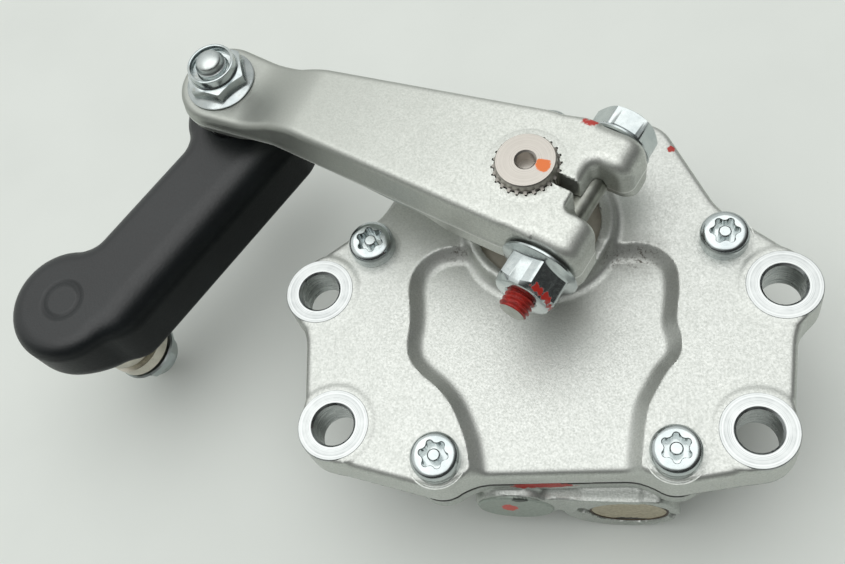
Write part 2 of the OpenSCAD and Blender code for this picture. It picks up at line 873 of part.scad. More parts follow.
module output_shaft() {
    tip = serration_d / 2;
    color("gainsboro")
        at_shaft()
            difference() {
                union() {
                    translate([0, 0, tail_low + 0.3]) cylinder(d = tail_d, h = rotor_low - tail_low);
                    translate([0, 0, rotor_low]) cylinder(d = rotor_seat_d, h = rotor_high - rotor_low);
                    translate([0, 0, rotor_high - eps]) cylinder(r = journal_r, h = journal_top - rotor_high + eps);
                    intersection() {
                        translate([0, 0, journal_top]) linear_extrude(shaft_top - journal_top) serration_plan(tip);
                        cylinder(r1 = tip - shaft_edge + shaft_top, r2 = tip - shaft_edge, h = shaft_top);
                    }
                }
                translate([0, 0, shaft_top - centre_hole_deep]) cylinder(d = centre_hole_d, h = big);
            }
}

module rotor() {
    color("silver")
        at_shaft()
            difference() {
                translate([0, 0, rotor_low])
                    linear_extrude(rotor_high - rotor_low)
                        difference() {
                            union() {
                                circle(hub_r);
                                translate([-vane_t / 2, -vane_r]) square([vane_t, vane_r]);
                            }
                            circle(rotor_seat_d / 2 + seat);
                            translate([-tip_t / 2 - seat, -vane_r - 1]) square([tip_t + 2 * seat, tip_slot + 1]);
                        }
            }
}

module vane_seal() {
    color("black")
        at_shaft()
            translate([0, 0, rotor_low])
                linear_extrude(rotor_high - rotor_low)
                    intersection() {
                        translate([-tip_t / 2, -tip_r - 1]) square([tip_t, tip_r - vane_r + tip_slot + 1 - seat]);
                        circle(tip_r);
                    }
}

module arm_plan() {
    neck = [neck_at, neck_side];
    tip = [arm_len, 0];
    circle(clamp_r);
    web([0, 0], clamp_r, neck, neck_r);
    translate(neck) circle(neck_r);
    web(neck, neck_r, tip, pad_r);
    translate(tip) circle(pad_r);
}

// side view of the arm: clamp, bar, slope and pad
module arm_side() {
    polygon([
        [-clamp_r - 1, clamp_low],
        [clamp_r, clamp_low],
        [clamp_r + clamp_drop, bar_low],
        [arm_len + pad_r + 1, bar_low],
        [arm_len + pad_r + 1, pad_top],
        [neck_at + step_len - step_back, pad_top],
        [neck_at - step_back, bar_top],
        [-clamp_r - 1, bar_top]
    ]);
}

// end view of the clamp along the pinch bolt: X out along the slot, Y up
module ear_side() {
    low = [ear_end - ear_edge, ear_low + ear_edge];
    high = [ear_end - ear_edge, bar_top - tuck - ear_edge];
    polygon(concat(
        [[0, bar_top - tuck], [0, clamp_low + tuck], [ear_from, clamp_low + tuck]],
        [for (i = [0:6]) low + ear_edge * dir(-90 + 15 * i)],
        [for (i = [0:6]) high + ear_edge * dir(15 * i)]
    ));
}

// plan of the notch that parts the ears outside the pinch bolt's axis
module notch_plan() {
    front = [bolt_u + notch_edge, notch_edge - notch_front];
    rear = [bolt_u + notch_edge, notch_rear - notch_edge];
    polygon(concat(
        [[big, -notch_front]],
        [for (i = [0:6]) front + notch_edge * dir(-90 - 15 * i)],
        [for (i = [0:6]) rear + notch_edge * dir(180 - 15 * i)],
        [[big, notch_rear]]
    ));
}

module damper_arm() {
    color("gainsboro")
        difference() {
            union() {
                at_arm()
                    intersection() {
                        linear_extrude(big) arm_plan();
                        translate([0, big / 2, 0]) rotate([90, 0, 0]) linear_extrude(big) arm_side();
                    }
                at_clamp()
                    translate([0, ear_rear, 0])
                        rotate([90, 0, 0]) linear_extrude(ear_front + ear_rear) ear_side();
            }
            at_shaft() translate([0, 0, journal_top]) linear_extrude(big) serration_plan(serration_d / 2 + seat);
            at_clamp() {
                translate([0, -slot_w / 2, 0]) cube([big, slot_w, big]);
                linear_extrude(big) notch_plan();
                translate([bolt_u, big / 2, bolt_z]) rotate([90, 0, 0]) cylinder(r = bolt_hole_r, h = big);
            }
            translate([upper_pos[0], upper_pos[1], 0]) cylinder(r = stud_r + seat, h = big);
        }
}

module pinch_bolt() {
    reach = ear_front + ear_rear + pinch_nut_h + pinch_end;
    color("lightgray")
        at_clamp()
            translate([bolt_u, ear_rear, bolt_z])
                rotate([90, 0, 0]) {
                    cylinder(r = bolt_r, h = reach);
                    rotate([180, 0, 0])
                        rotate(pinch_head_turn) flange_nut(pinch_hex_r, pinch_flange_d / 2, pinch_nut_h, 0.5);
                    translate([0, 0, -pinch_nut_h + 1]) cylinder(r = bolt_r, h = pinch_nut_h);
                }
}

module pinch_nut() {
    color("lightgray")
        at_clamp()
            translate([bolt_u, -ear_front, bolt_z])
                rotate([90, 0, 0])
                    rotate(pinch_nut_turn)
                        flange_nut(pinch_hex_r, pinch_flange_d / 2, pinch_nut_h, bolt_r + seat);
}

// ball, neck, collar and thread above a ball centre; high is where the thread ends
module ball_stud(collar_at, high) {
    sphere(r = ball_r);
    cylinder(r = neck_stud_r, h = collar_at + eps);
    translate([0, 0, collar_at]) cylinder(r = collar_r_stud, h = stud_collar_t);
    translate([0, 0, collar_at]) cylinder(r = stud_r, h = high - stud_past - collar_at);
    translate([0, 0, high - stud_past - eps]) cylinder(r1 = stud_r, r2 = stud_r - 2 * stud_past, h = 2 * stud_past);
}

module upper_ball_stud() {
    color("lightgray")
        translate([upper_pos[0], upper_pos[1], upper_ball_z])
            ball_stud(upper_collar_low - upper_ball_z, pad_top + stud_nut_h - upper_ball_z);
}

module upper_nut() {
    color("lightgray")
        translate([upper_pos[0], upper_pos[1], pad_top])
            rotate(upper_nut_turn) flange_nut(stud_hex_r, stud_flange_d / 2, stud_nut_h, stud_r + seat);
}

// plan of the link grown outward by the given distance from its bar
module link_plan(r, inset) {
    circle(r);
    translate([link_len, 0]) circle(r);
    translate([0, tuck - r]) square([link_len, r - tuck + inset]);
}

// what the taper of the lower round end takes off, from z = 0 up
module foot_cut(r_low, r_high, h) {
    difference() {
        translate([0, 0, -past]) cylinder(r = 2 * link_r, h = h + past);
        translate([0, 0, -past]) cylinder(r = r_low, h = 2 * past);
        cylinder(r1 = r_low, r2 = r_high, h = h);
        translate([0, -2 * link_r, -2 * past]) cube([3 * link_r, 4 * link_r, h + 4 * past]);
    }
}

// space of the link bar and its two sockets
module link_space(gap) {
    foot = link_foot_r - link_wall + foot_slope * link_wall;
    translate([0, 0, core_low - gap]) {
        difference() {
            cylinder(r = core_r + gap, h = core_top - core_low + 2 * gap);
            foot_cut(foot + gap, core_r + gap, link_foot_h - link_wall);
        }
        translate([link_len, 0, 0]) cylinder(r = core_r + gap, h = core_top - core_low + 2 * gap);
    }
    translate([0, -core_r - gap, core_shank_low - gap])
        cube([link_len, core_r + link_inset - link_wall + 2 * gap, core_shank_top - core_shank_low + 2 * gap]);
}

module link_cover() {
    color("dimgray")
        at_link()
            difference() {
                translate([0, 0, link_low])
                    difference() {
                        linear_extrude(link_h) link_plan(link_r, link_inset);
                        foot_cut(link_foot_r, link_r, link_foot_h);
                    }
                link_space(seat);
                translate([0, 0, link_low - 1]) cylinder(r = mouth_cover_r, h = link_h / 2);
                translate([link_len, 0, link_top - link_h / 2]) cylinder(r = mouth_cover_r, h = link_h);
                ring(mark_r, mark_r - mark_w, link_top - mark_depth, 1);
            }
}

module link_bar() {
    color("silver")
        at_link()
            difference() {
                link_space(0);
                translate([0, 0, core_low + lip_t]) cylinder(r = race_r + seat, h = big);
                translate([0, 0, core_low - 1]) cylinder(r = mouth_r, h = big);
                translate([link_len, 0, core_top - lip_t - big]) cylinder(r = race_r + seat, h = big);
                translate([link_len, 0, core_top - big + 1]) cylinder(r = mouth_r, h = big);
            }
}

module race(low) {
    translate([0, 0, low])
        difference() {
            cylinder(r = race_r, h = race_len);
            translate([0, 0, race_len / 2]) sphere(r = ball_r + run);
        }
}

module upper_race() {
    color("ivory")
        translate([upper_pos[0], upper_pos[1], 0])
            difference() {
                race(core_top - lip_t - race_len);
                translate([0, 0, upper_ball_z]) cylinder(r = mouth_r, h = big);
            }
}

module lower_race() {
    color("ivory")
        translate([lower_pos[0], lower_pos[1], 0])
            difference() {
                race(core_low + lip_t);
                translate([0, 0, lower_ball_z - big]) cylinder(r = mouth_r, h = big);
            }
}

module upper_plate() {
    color("silver") translate([upper_pos[0], upper_pos[1], core_low]) cylinder(r = race_r, h = plate_t);
}

module lower_plate() {
    color("silver") translate([lower_pos[0], lower_pos[1], core_top - plate_t]) cylinder(r = race_r, h = plate_t);
}

// frame of the leaning lower stud: its Z runs down from the ball centre
module at_lower_stud() {
    translate([lower_pos[0], lower_pos[1], lower_ball_z])
        rotate([0, 0, lean_dir]) rotate([0, -stud_lean, 0]) mirror([0, 0, 1]) children();
}

// soft ring round a stud's neck, from a seat at z = 0 to the stud's collar
module boot(length) {
    rotate_extrude()
        polygon([
            [boot_in, 0],
            [boot_seat_r, 0],
            [boot_seat_r, length / 3],
            [boot_low_r, length],
            [boot_in, length]
        ]);
}

module upper_boot() {
    color("black") translate([upper_pos[0], upper_pos[1], core_top]) boot(upper_collar_low - core_top - free);
}

module lower_boot() {
    top = lower_ball_z - link_low + lean_drop;
    color("black") at_lower_stud() translate([0, 0, top]) boot(lower_reach - top - free);
}

module lower_ball_stud() {
    color("lightgray") at_lower_stud() ball_stud(lower_reach, lower_nut_at + stud_nut_h);
}

module lower_nut() {
    color("lightgray")
        at_lower_stud()
            translate([0, 0, lower_nut_at]) flange_nut(stud_hex_r, stud_flange_d / 2, stud_nut_h, stud_r + seat);
}

top_cover();
lower_case();
perimeter_seal();
cover_screws();
cover_bush();
case_bush();
oil_seal();
dust_seal();
thrust_washers();
front_plug();
plug_ring();
relief_seat();
relief_ball();
relief_spring();
accumulator_cap();
cap_ring();
snap_ring();
accumulator_spring();
accumulator_piston();
piston_ring();
check_seats();
check_stops();
check_ball_left();
check_ball_right();
output_shaft();
rotor();
vane_seal();
damper_arm();
pinch_bolt();
pinch_nut();
upper_ball_stud();
upper_nut();
link_cover();
link_bar();
upper_race();
lower_race();
upper_plate();
lower_plate();
upper_boot();
lower_boot();
lower_ball_stud();
lower_nut();
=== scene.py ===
import math
import bpy
import numpy as np
from mathutils import Matrix


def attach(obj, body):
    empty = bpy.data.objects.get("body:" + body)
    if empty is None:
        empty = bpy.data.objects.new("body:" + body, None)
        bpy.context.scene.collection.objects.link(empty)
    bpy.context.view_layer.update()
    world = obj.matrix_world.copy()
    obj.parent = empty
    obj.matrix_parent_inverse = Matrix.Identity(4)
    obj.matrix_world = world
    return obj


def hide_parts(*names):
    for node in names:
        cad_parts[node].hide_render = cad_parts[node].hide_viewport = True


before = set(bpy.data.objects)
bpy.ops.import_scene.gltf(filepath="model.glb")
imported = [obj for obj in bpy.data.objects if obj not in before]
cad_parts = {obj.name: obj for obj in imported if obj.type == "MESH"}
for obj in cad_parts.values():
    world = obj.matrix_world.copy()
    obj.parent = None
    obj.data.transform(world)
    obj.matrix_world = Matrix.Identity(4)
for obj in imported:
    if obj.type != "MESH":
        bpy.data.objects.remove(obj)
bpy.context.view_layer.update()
mm = 0.001
perMm = 1 / mm
tau = 2 * math.pi
print("frame loaded")

# places shared by the pieces, in millimetres, as in the part's source
places = {
    "lugs": [(-48, 30), (48, 30), (-41.5, 0), (41.5, 0)],
    "screws": [(-37, 40.6), (37, 40.6), (-19.6, -6.7), (26.2, -4.6), (1, 67.6)],
    "corners": [(-20, 62.5), (20, 62.5)],
    "shaft": (-1, 45),
    "upperStud": (-70.539, 73.095),
    "lowerStud": (-103.561, 24.685),
    "ballHeight": 9.2,
    "armTurn": 158,
    "slotTurn": -28.6,
    "linkTurn": 55.7,
    "boltOut": 10.4,
    "boltHeight": 24,
    "studLean": 11,
    "leanTurn": 20,
}


def linear(code):
    # sRGB hex to linear light
    c = np.array([int(code[i:i + 2], 16) for i in (1, 3, 5)]) / 255
    c = np.where(c <= 0.04045, c / 12.92, ((c + 0.055) / 1.055) ** 2.4)
    return (*(float(v) for v in c), 1.0)


def setInputs(tree, node, inputs):
    # an input is a plain value or another node's output
    for key, value in inputs.items():
        if isinstance(value, bpy.types.NodeSocket):
            tree.links.new(value, node.inputs[key])
        else:
            node.inputs[key].default_value = value


# settings and output of a kind of node, unless a call says otherwise
usual = {"Mix": ({"data_type": "RGBA"}, 2), "TexCoord": ({}, "Object")}


def addNode(tree, kind, inputs, out=None, **settings):
    # one node with its settings and links, known by one of its outputs
    node = tree.nodes.new("ShaderNode" + kind)
    preset, main = usual.get(kind, ({}, 0))
    for key, value in {**preset, **settings}.items():
        setattr(node, key, value)
    setInputs(tree, node, inputs)
    return node.outputs[main if out is None else out]


# camera: solved from the photograph's mounting holes, nuts and arm edges
camera = {
    "place": (20.3787, -59.9123, 201.7832),
    "right": (0.977733, 0.074554, -0.196165),
    "down": (-0.016563, -0.904434, -0.426291),
    "view": (-0.2092, 0.420048, -0.88306),
    "focalPixels": 1024.168,
    "imageWidth": 845,
    "sensor": 36,
}


def placed(right, up, back, origin):
    # world matrix from three axes and an origin in metres
    m = np.eye(4)
    m[:3] = np.stack([right, up, back, origin], -1)
    return Matrix(m.tolist())


def makeCamera():
    data = bpy.data.cameras.new("camera")
    data.sensor_width = camera["sensor"]
    data.lens = camera["focalPixels"] * camera["sensor"] / camera["imageWidth"]
    data.clip_start = 0.01
    data.clip_end = 20
    cam = bpy.data.objects.new("camera", data)
    bpy.context.scene.collection.objects.link(cam)
    right, down, view, origin = (np.array(camera[key]) for key in ("right", "down", "view", "place"))
    cam.matrix_world = placed(right, -down, -view, origin * mm)
    bpy.context.scene.camera = cam


makeCamera()


noTris = np.zeros((0, 3), int)


def buildMesh(name, points, quads, tris):
    # points in mm to a mesh in metres, whole arrays at once
    loops = np.concatenate([quads.ravel(), tris.ravel()]).astype(np.int32)
    starts = np.concatenate([
        np.arange(len(quads)) * 4, len(quads) * 4 + np.arange(len(tris)) * 3]).astype(np.int32)
    mesh = bpy.data.meshes.new(name)
    mesh.vertices.add(len(points))
    mesh.vertices.foreach_set("co", (points * mm).astype(np.float32).ravel())
    mesh.loops.add(len(loops))
    mesh.loops.foreach_set("vertex_index", loops)
    mesh.polygons.add(len(starts))
    mesh.polygons.foreach_set("loop_start", starts)
    mesh.update(calc_edges=True)
    mesh.validate()
    return mesh


sharpAngle = 32


def place(name, parts, body, nodes):
    # joins (points, quads, tris, material) parts into one piece that rides on a body
    points, quads, tris, slots4, slots3, mats = [], [], [], [], [], []
    base = 0
    for p, q, t, material in parts:
        if material not in mats:
            mats.append(material)
        points.append(p)
        quads.append(q + base)
        tris.append(t + base)
        slots4.append(np.full(len(q), mats.index(material)))
        slots3.append(np.full(len(t), mats.index(material)))
        base += len(p)
    mesh = buildMesh(name, np.concatenate(points), np.concatenate(quads), np.concatenate(tris))
    for m in mats:
        mesh.materials.append(m)
    index = np.concatenate(slots4 + slots3).astype(np.int32)
    mesh.polygons.foreach_set("material_index", index)
    mesh.polygons.foreach_set("use_smooth", np.ones(len(mesh.polygons), bool))
    mesh.set_sharp_from_angle(angle=math.radians(sharpAngle))
    obj = bpy.data.objects.new(name, mesh)
    bpy.context.scene.collection.objects.link(obj)
    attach(obj, body)
    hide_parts(*nodes)
    print("piece", name, len(mesh.polygons))


def angles(count):
    return np.arange(count) * tau / count


def rowsToGrid(radii, heights, loop=False, capLow=False, capHigh=False):
    # rows of radius and height by angle, turned round Z: point = (r cos a, r sin a, h)
    rows, count = radii.shape
    a = angles(count)
    pts = np.stack([radii * np.cos(a), radii * np.sin(a), heights], -1).reshape(-1, 3)
    r = np.arange(rows if loop else rows - 1)[:, None]
    c = np.arange(count)[None, :]
    up, on = (r + 1) % rows, (c + 1) % count
    quads = np.stack([r * count + c, r * count + on, up * count + on, up * count + c], -1).reshape(-1, 4)
    tris = []
    c = np.arange(count)
    on = (c + 1) % count
    if capLow:
        pts = np.vstack([pts, [0, 0, heights[0].mean()]])
        tris.append(np.stack([on, c, np.full(count, len(pts) - 1)], -1))
    if capHigh:
        pts = np.vstack([pts, [0, 0, heights[-1].mean()]])
        last = (rows - 1) * count
        tris.append(np.stack([last + c, last + on, np.full(count, len(pts) - 1)], -1))
    return pts, quads, np.concatenate(tris) if tris else noTris


def profileGrid(profile, count=96, **caps):
    # (radius, height) rows carried round the axis, each a number or an array by angle
    rows = np.array([[np.broadcast_to(v, count) for v in row] for row in profile], float)
    return rowsToGrid(rows[:, 0], rows[:, 1], **caps)


def turned(part, origin, axis, spin=0.0):
    # moves a part made on Z so that Z runs along axis from origin
    pts, quads, tris = part
    w = np.array(axis, float) / np.linalg.norm(axis)
    side = np.array([0, 0, 1.0]) if abs(w[2]) < 0.9 else np.array([1.0, 0, 0])
    u = np.cross(side, w)
    u /= np.linalg.norm(u)
    v = np.cross(w, u)
    c, s = math.cos(math.radians(spin)), math.sin(math.radians(spin))
    u, v = c * u + s * v, c * v - s * u
    return np.array(origin, float) + pts @ np.stack([u, v, w]), quads, tris


def smooth(t):
    t = np.clip(t, 0, 1)
    return t * t * (3 - 2 * t)


def rise(t, low, high):
    # smooth step: 0 at low, 1 at high
    return smooth((t - low) / (high - low))


def roundMax(a, b, r):
    # both, with the outer corner rounded to radius r
    return np.minimum(-r, np.maximum(a, b)) + np.hypot(np.maximum(a + r, 0), np.maximum(b + r, 0))


def roundMin(a, b, r):
    # either, with the inner corner filled to radius r
    return np.maximum(r, np.minimum(a, b)) - np.hypot(np.maximum(r - a, 0), np.maximum(r - b, 0))


def polygonDistance(x, y, corners):
    # signed distance to a closed polygon: nearest edge, negative inside by winding
    c = np.array(corners, float)
    best = np.full(x.shape, 1e9)
    inside = np.zeros(x.shape, bool)
    for (ax, ay), (bx, by) in zip(c, np.roll(c, -1, 0)):
        ex, ey = bx - ax, by - ay
        t = np.clip(((x - ax) * ex + (y - ay) * ey) / (ex * ex + ey * ey), 0, 1)
        best = np.minimum(best, (x - ax - t * ex) ** 2 + (y - ay - t * ey) ** 2)
        cross = ((ay > y) != (by > y)) & (x < ex * (y - ay) / (ey if ey else 1e-9) + ax)
        inside ^= cross
    d = np.sqrt(best)
    return np.where(inside, -d, d)


def stripDistance(x, y, a, ra, b, rb):
    # strip between two circles along their outer tangents, round ends included
    a, b = np.array(a, float), np.array(b, float)
    d = b - a
    t = math.atan2(d[1], d[0])
    f = math.acos((ra - rb) / np.linalg.norm(d))
    right, left = (np.array([math.cos(g), math.sin(g)]) for g in (t - f, t + f))
    corners = [a + ra * right, b + rb * right, b + rb * left, a + ra * left]
    ends = np.minimum(np.hypot(x - a[0], y - a[1]) - ra, np.hypot(x - b[0], y - b[1]) - rb)
    return np.minimum(ends, polygonDistance(x, y, corners))


def curveThrough(points, steps=8):
    # closed curve through the points: Catmull-Rom cubic on each span
    p = np.array(points, float)
    t = np.linspace(0, 1, steps, endpoint=False)[None, :, None]
    a, b, c, d = (np.roll(p, k, 0)[:, None, :] for k in (1, 0, -1, -2))
    q = 0.5 * (2 * b + (c - a) * t + (2 * a - 5 * b + 4 * c - d) * t ** 2 + (3 * b - a - 3 * c + d) * t ** 3)
    return q.reshape(-1, 2)


class plan:
    # a flat outline kept as signed distances on a grid, read between its points
    def __init__(self, low, high, step=0.5):
        self.low, self.step = np.array(low, float), step
        n = [int(round((h - l) / step)) + 1 for l, h in zip(low, high)]
        self.x, self.y = np.meshgrid(*(low[k] + step * np.arange(n[k]) for k in (0, 1)), indexing="ij")
        self.d = np.full(self.x.shape, 1e9)

    def join(self, d):
        self.d = np.minimum(self.d, d)
        return self

    def fill(self, r):
        # inner corners filled to radius r: grow by r, measure again, shrink by r
        e = self.d - r
        spots = []
        for axis in (0, 1):
            one = e[:-1] if axis == 0 else e[:, :-1]
            two = e[1:] if axis == 0 else e[:, 1:]
            i, j = np.nonzero((one < 0) != (two < 0))
            t = one[i, j] / (one[i, j] - two[i, j])
            at = np.stack([i + (t if axis == 0 else 0), j + (t if axis == 1 else 0)], -1)
            spots.append(self.low + at * self.step)
        spots = np.concatenate(spots)
        flat = np.stack([self.x.ravel(), self.y.ravel()], -1)
        near = np.empty(len(flat))
        for k in range(0, len(flat), 4000):
            block = flat[k:k + 4000]
            gap = (block[:, :1] - spots[:, 0]) ** 2 + (block[:, 1:] - spots[:, 1]) ** 2
            near[k:k + 4000] = np.sqrt(gap.min(1))
        near = near.reshape(e.shape)
        self.d = np.where(e < 0, -near, near) + r
        return self

    def at(self, x, y):
        fx = np.clip((x - self.low[0]) / self.step, 0, self.d.shape[0] - 1.001)
        fy = np.clip((y - self.low[1]) / self.step, 0, self.d.shape[1] - 1.001)
        i, j = fx.astype(int), fy.astype(int)
        u, v = fx - i, fy - j
        d = self.d
        return ((1 - u) * (1 - v) * d[i, j] + u * (1 - v) * d[i + 1, j]
                + (1 - u) * v * d[i, j + 1] + u * v * d[i + 1, j + 1])


def castSurface(field, low, high, step):
    # the zero level of a distance field in a box: one point per crossed cell, at the
    # mean of its crossings, then slid along the slope until the field is zero
    low = np.array(low, float)
    n = np.ceil((np.array(high, float) - low) / step).astype(int) + 1
    axes = [low[k] + step * np.arange(n[k]) for k in range(3)]
    f = field(*np.meshgrid(*axes, indexing="ij"))
    inside = f < 0
    corners = np.array([[i, j, k] for i in (0, 1) for j in (0, 1) for k in (0, 1)])
    total = sum(inside[i:n[0] - 1 + i, j:n[1] - 1 + j, k:n[2] - 1 + k].astype(np.int8) for i, j, k in corners)
    active = (total > 0) & (total < 8)
    cell = np.argwhere(active)
    at = cell[:, None, :] + corners
    value = f[at[..., 0], at[..., 1], at[..., 2]]
    mean = np.zeros((len(cell), 3))
    hits = np.zeros((len(cell), 1))
    for p in range(8):
        for q in range(p + 1, 8):
            if np.abs(corners[p] - corners[q]).sum() == 1:
                a, b = value[:, p], value[:, q]
                crossed = ((a < 0) != (b < 0))[:, None]
                t = (a / np.where(a == b, 1, a - b))[:, None]
                mean += np.where(crossed, corners[p] + (corners[q] - corners[p]) * t, 0)
                hits += crossed
    pts = low + (cell + mean / hits) * step
    number = np.full(active.shape, -1)
    number[active] = np.arange(len(cell))
    quads = []
    around = [[(0, -1, -1), (0, 0, -1), (0, 0, 0), (0, -1, 0)],
              [(-1, 0, -1), (-1, 0, 0), (0, 0, 0), (0, 0, -1)],
              [(-1, -1, 0), (0, -1, 0), (0, 0, 0), (-1, 0, 0)]]
    for axis in range(3):
        lo = np.take(inside, np.arange(n[axis] - 1), axis)
        hi = np.take(inside, np.arange(1, n[axis]), axis)
        for first, flip in ((lo & ~hi, False), (hi & ~lo, True)):
            e = np.argwhere(first)
            ids = np.stack([number[tuple((e + o).T)] for o in around[axis]], -1)
            quads.append(ids[:, ::-1] if flip else ids)
    quads = np.concatenate(quads)
    h = 0.04
    for _ in range(5):
        x, y, z = pts.T
        f0 = field(x, y, z)
        g = np.stack([field(x + h, y, z) - field(x - h, y, z), field(x, y + h, z) - field(x, y - h, z),
                      field(x, y, z + h) - field(x, y, z - h)], -1) / (2 * h)
        move = f0[:, None] * g / np.maximum((g * g).sum(1, keepdims=True), 0.05)
        size = np.linalg.norm(move, axis=1, keepdims=True)
        pts = pts - move * np.minimum(1, 0.35 * step / np.maximum(size, 1e-9))
    return pts, quads, noTris


def startMaterial(name):
    # a material with its tree, its shader and the piece's own coordinates
    material = bpy.data.materials.new(name)
    material.use_nodes = True
    tree = material.node_tree
    return material, tree, tree.nodes["Principled BSDF"], addNode(tree, "TexCoord", {})


def patches(tree, at, acrossMm, low, high, toLow=0.0, toHigh=1.0, detail=3, rough=0.55):
    # soft spots about acrossMm across: toLow where the noise is under low, toHigh over high
    wave = {"Vector": at, "Scale": perMm / acrossMm, "Detail": detail, "Roughness": rough}
    wave = addNode(tree, "TexNoise", wave)
    return addNode(tree, "MapRange", {0: wave, 1: low, 2: high, 3: toLow, 4: toHigh})


def farFrom(tree, at, centre, squash):
    # distance from centre (mm), each axis counted by its squash
    off = addNode(tree, "VectorMath", {0: at, 1: [-v * mm for v in centre]}, operation="ADD")
    off = addNode(tree, "VectorMath", {0: off, 1: squash}, operation="MULTIPLY")
    return addNode(tree, "VectorMath", {0: off}, "Value", operation="LENGTH")


def spotMask(tree, at, centre, radius, soft, squash=(1, 1, 1), ragged=0.0):
    # 1 within radius of centre (mm), 0 outside, its edge soft and uneven by ragged
    far = farFrom(tree, at, centre, squash)
    if ragged:
        wave = patches(tree, at, 1.2, 0.3, 0.7, -ragged * mm, ragged * mm)
        far = addNode(tree, "Math", {0: far, 1: wave}, operation="ADD")
    return addNode(tree, "MapRange", {0: far, 1: (radius + soft) * mm, 2: (radius - soft) * mm})


def paintOver(tree, at, colour, paints, soft=0.12, ragged=0.35):
    # brush marks of paint, and marks of painted shade, over a colour, and their masks
    masks = []
    for centre, radius, squash, code in paints:
        masks.append(spotMask(tree, at, centre, radius, soft, squash, ragged))
        colour = addNode(tree, "Mix", {0: masks[-1], 6: colour, 7: linear(code)})
    return colour, masks


def bareShare(tree, masks):
    # how metallic the surface is: 1 less the strongest mask of paint, dirt or painted seam shade
    share = 1.0
    for mask in masks:
        bare = addNode(tree, "Math", {0: 1, 1: mask}, operation="SUBTRACT")
        share = addNode(tree, "Math", {0: share, 1: bare}, operation="MINIMUM")
    return share


# die-cast aluminium, shot blasted: pale and satin, peppered with 0.4 mm grain and rubbed in
# places; painted shade where two castings meet, a painted highlight along a forging's parting
# line, and where given a wide soft patch of painted shade
def castAluminium(name, light, dark, rough, paints=(), soils=(), seamAt=None, partingAt=None, paintedShade=None):
    material, tree, shader, at = startMaterial(name)
    grain = addNode(tree, "TexNoise", {"Vector": at, "Scale": perMm / 0.42, "Detail": 3, "Roughness": 0.65})
    pepper = addNode(tree, "MapRange", {0: grain, 1: 0.3, 2: 0.7})
    colour = addNode(tree, "Mix", {0: pepper, 6: linear(light), 7: linear(dark)})
    cloud = patches(tree, at, 6, 0.45, 0.75, 0, 0.3, detail=4)
    colour = addNode(tree, "Mix", {0: cloud, 6: colour, 7: linear(dark)})
    # painted shade: a wide soft darker patch over one area, here the arm's pad end
    if paintedShade:
        centre, radius, soft, code = paintedShade
        shadeMask = spotMask(tree, at, centre, radius, soft)
        colour = addNode(tree, "Mix", {0: shadeMask, 6: colour, 7: linear(code)})
    # rub marks 0.2 mm wide and 7 mm long, in patches of 12 mm
    drawn = addNode(tree, "VectorMath", {0: at, 1: (5000, 140, 140)}, operation="MULTIPLY")
    rub = addNode(tree, "TexNoise", {"Vector": drawn, "Scale": 1, "Detail": 1})
    rub = addNode(tree, "MapRange", {0: rub, 1: 0.66, 2: 0.74, 4: 0.5})
    patch = patches(tree, at, 12, 0.5, 0.62)
    rub = addNode(tree, "Math", {0: rub, 1: patch}, operation="MULTIPLY")
    colour = addNode(tree, "Mix", {0: rub, 6: colour, 7: linear("#b3b5b0")})
    dirtAndSeamShade = []
    for centre, radius, squash, code, share in soils:
        # specks of 0.8 mm that thin out from the centre, over an even film
        spread = spotMask(tree, at, centre, radius, radius * 0.7, squash, 0.6)
        speck = patches(tree, at, 0.8, 0.5, 0.62, detail=5, rough=0.75)
        speck = addNode(tree, "Math", {0: spread, 1: speck}, operation="MULTIPLY")
        thin = addNode(tree, "MapRange", {0: spread, 3: 0.4})
        speck = addNode(tree, "Math", {0: speck, 1: thin}, operation="MULTIPLY")
        film = addNode(tree, "MapRange", {0: spread, 4: share})
        dirtAndSeamShade.append(addNode(tree, "Math", {0: speck, 1: film}, operation="MAXIMUM"))
        colour = addNode(tree, "Mix", {0: dirtAndSeamShade[-1], 6: colour, 7: linear(code)})
    # painted shade: a dark line along the seam where cover and case meet
    if seamAt is not None:
        dirtAndSeamShade.append(spotMask(tree, at, (0, 0, seamAt), 0.625, 0.225, (0, 0, 1)))
        colour = addNode(tree, "Mix", {0: dirtAndSeamShade[-1], 6: colour, 7: linear("#2f2f2c")})
    relief = grain
    # painted highlight: a bright line on the parting ridge; the ridge's bump is real relief
    if partingAt is not None:
        ridge = spotMask(tree, at, (0, 0, partingAt), 0.225, 0.225, (0, 0, 1))
        colour = addNode(tree, "Mix", {0: ridge, 6: colour, 7: linear("#f2f3f0")})
        relief = addNode(tree, "Math", {0: ridge, 1: grain, 2: grain}, operation="MULTIPLY_ADD")
    colour, masks = paintOver(tree, at, colour, paints)
    setInputs(tree, shader, {
        "Base Color": colour, "Metallic": bareShare(tree, dirtAndSeamShade + masks),
        "Roughness": addNode(tree, "MapRange", {0: grain, 1: 0.3, 2: 0.7, 3: rough[0], 4: rough[1]}),
        "Normal": addNode(tree, "Bump", {"Height": relief, "Distance": 0.06 * mm, "Strength": 0.6})})
    return material


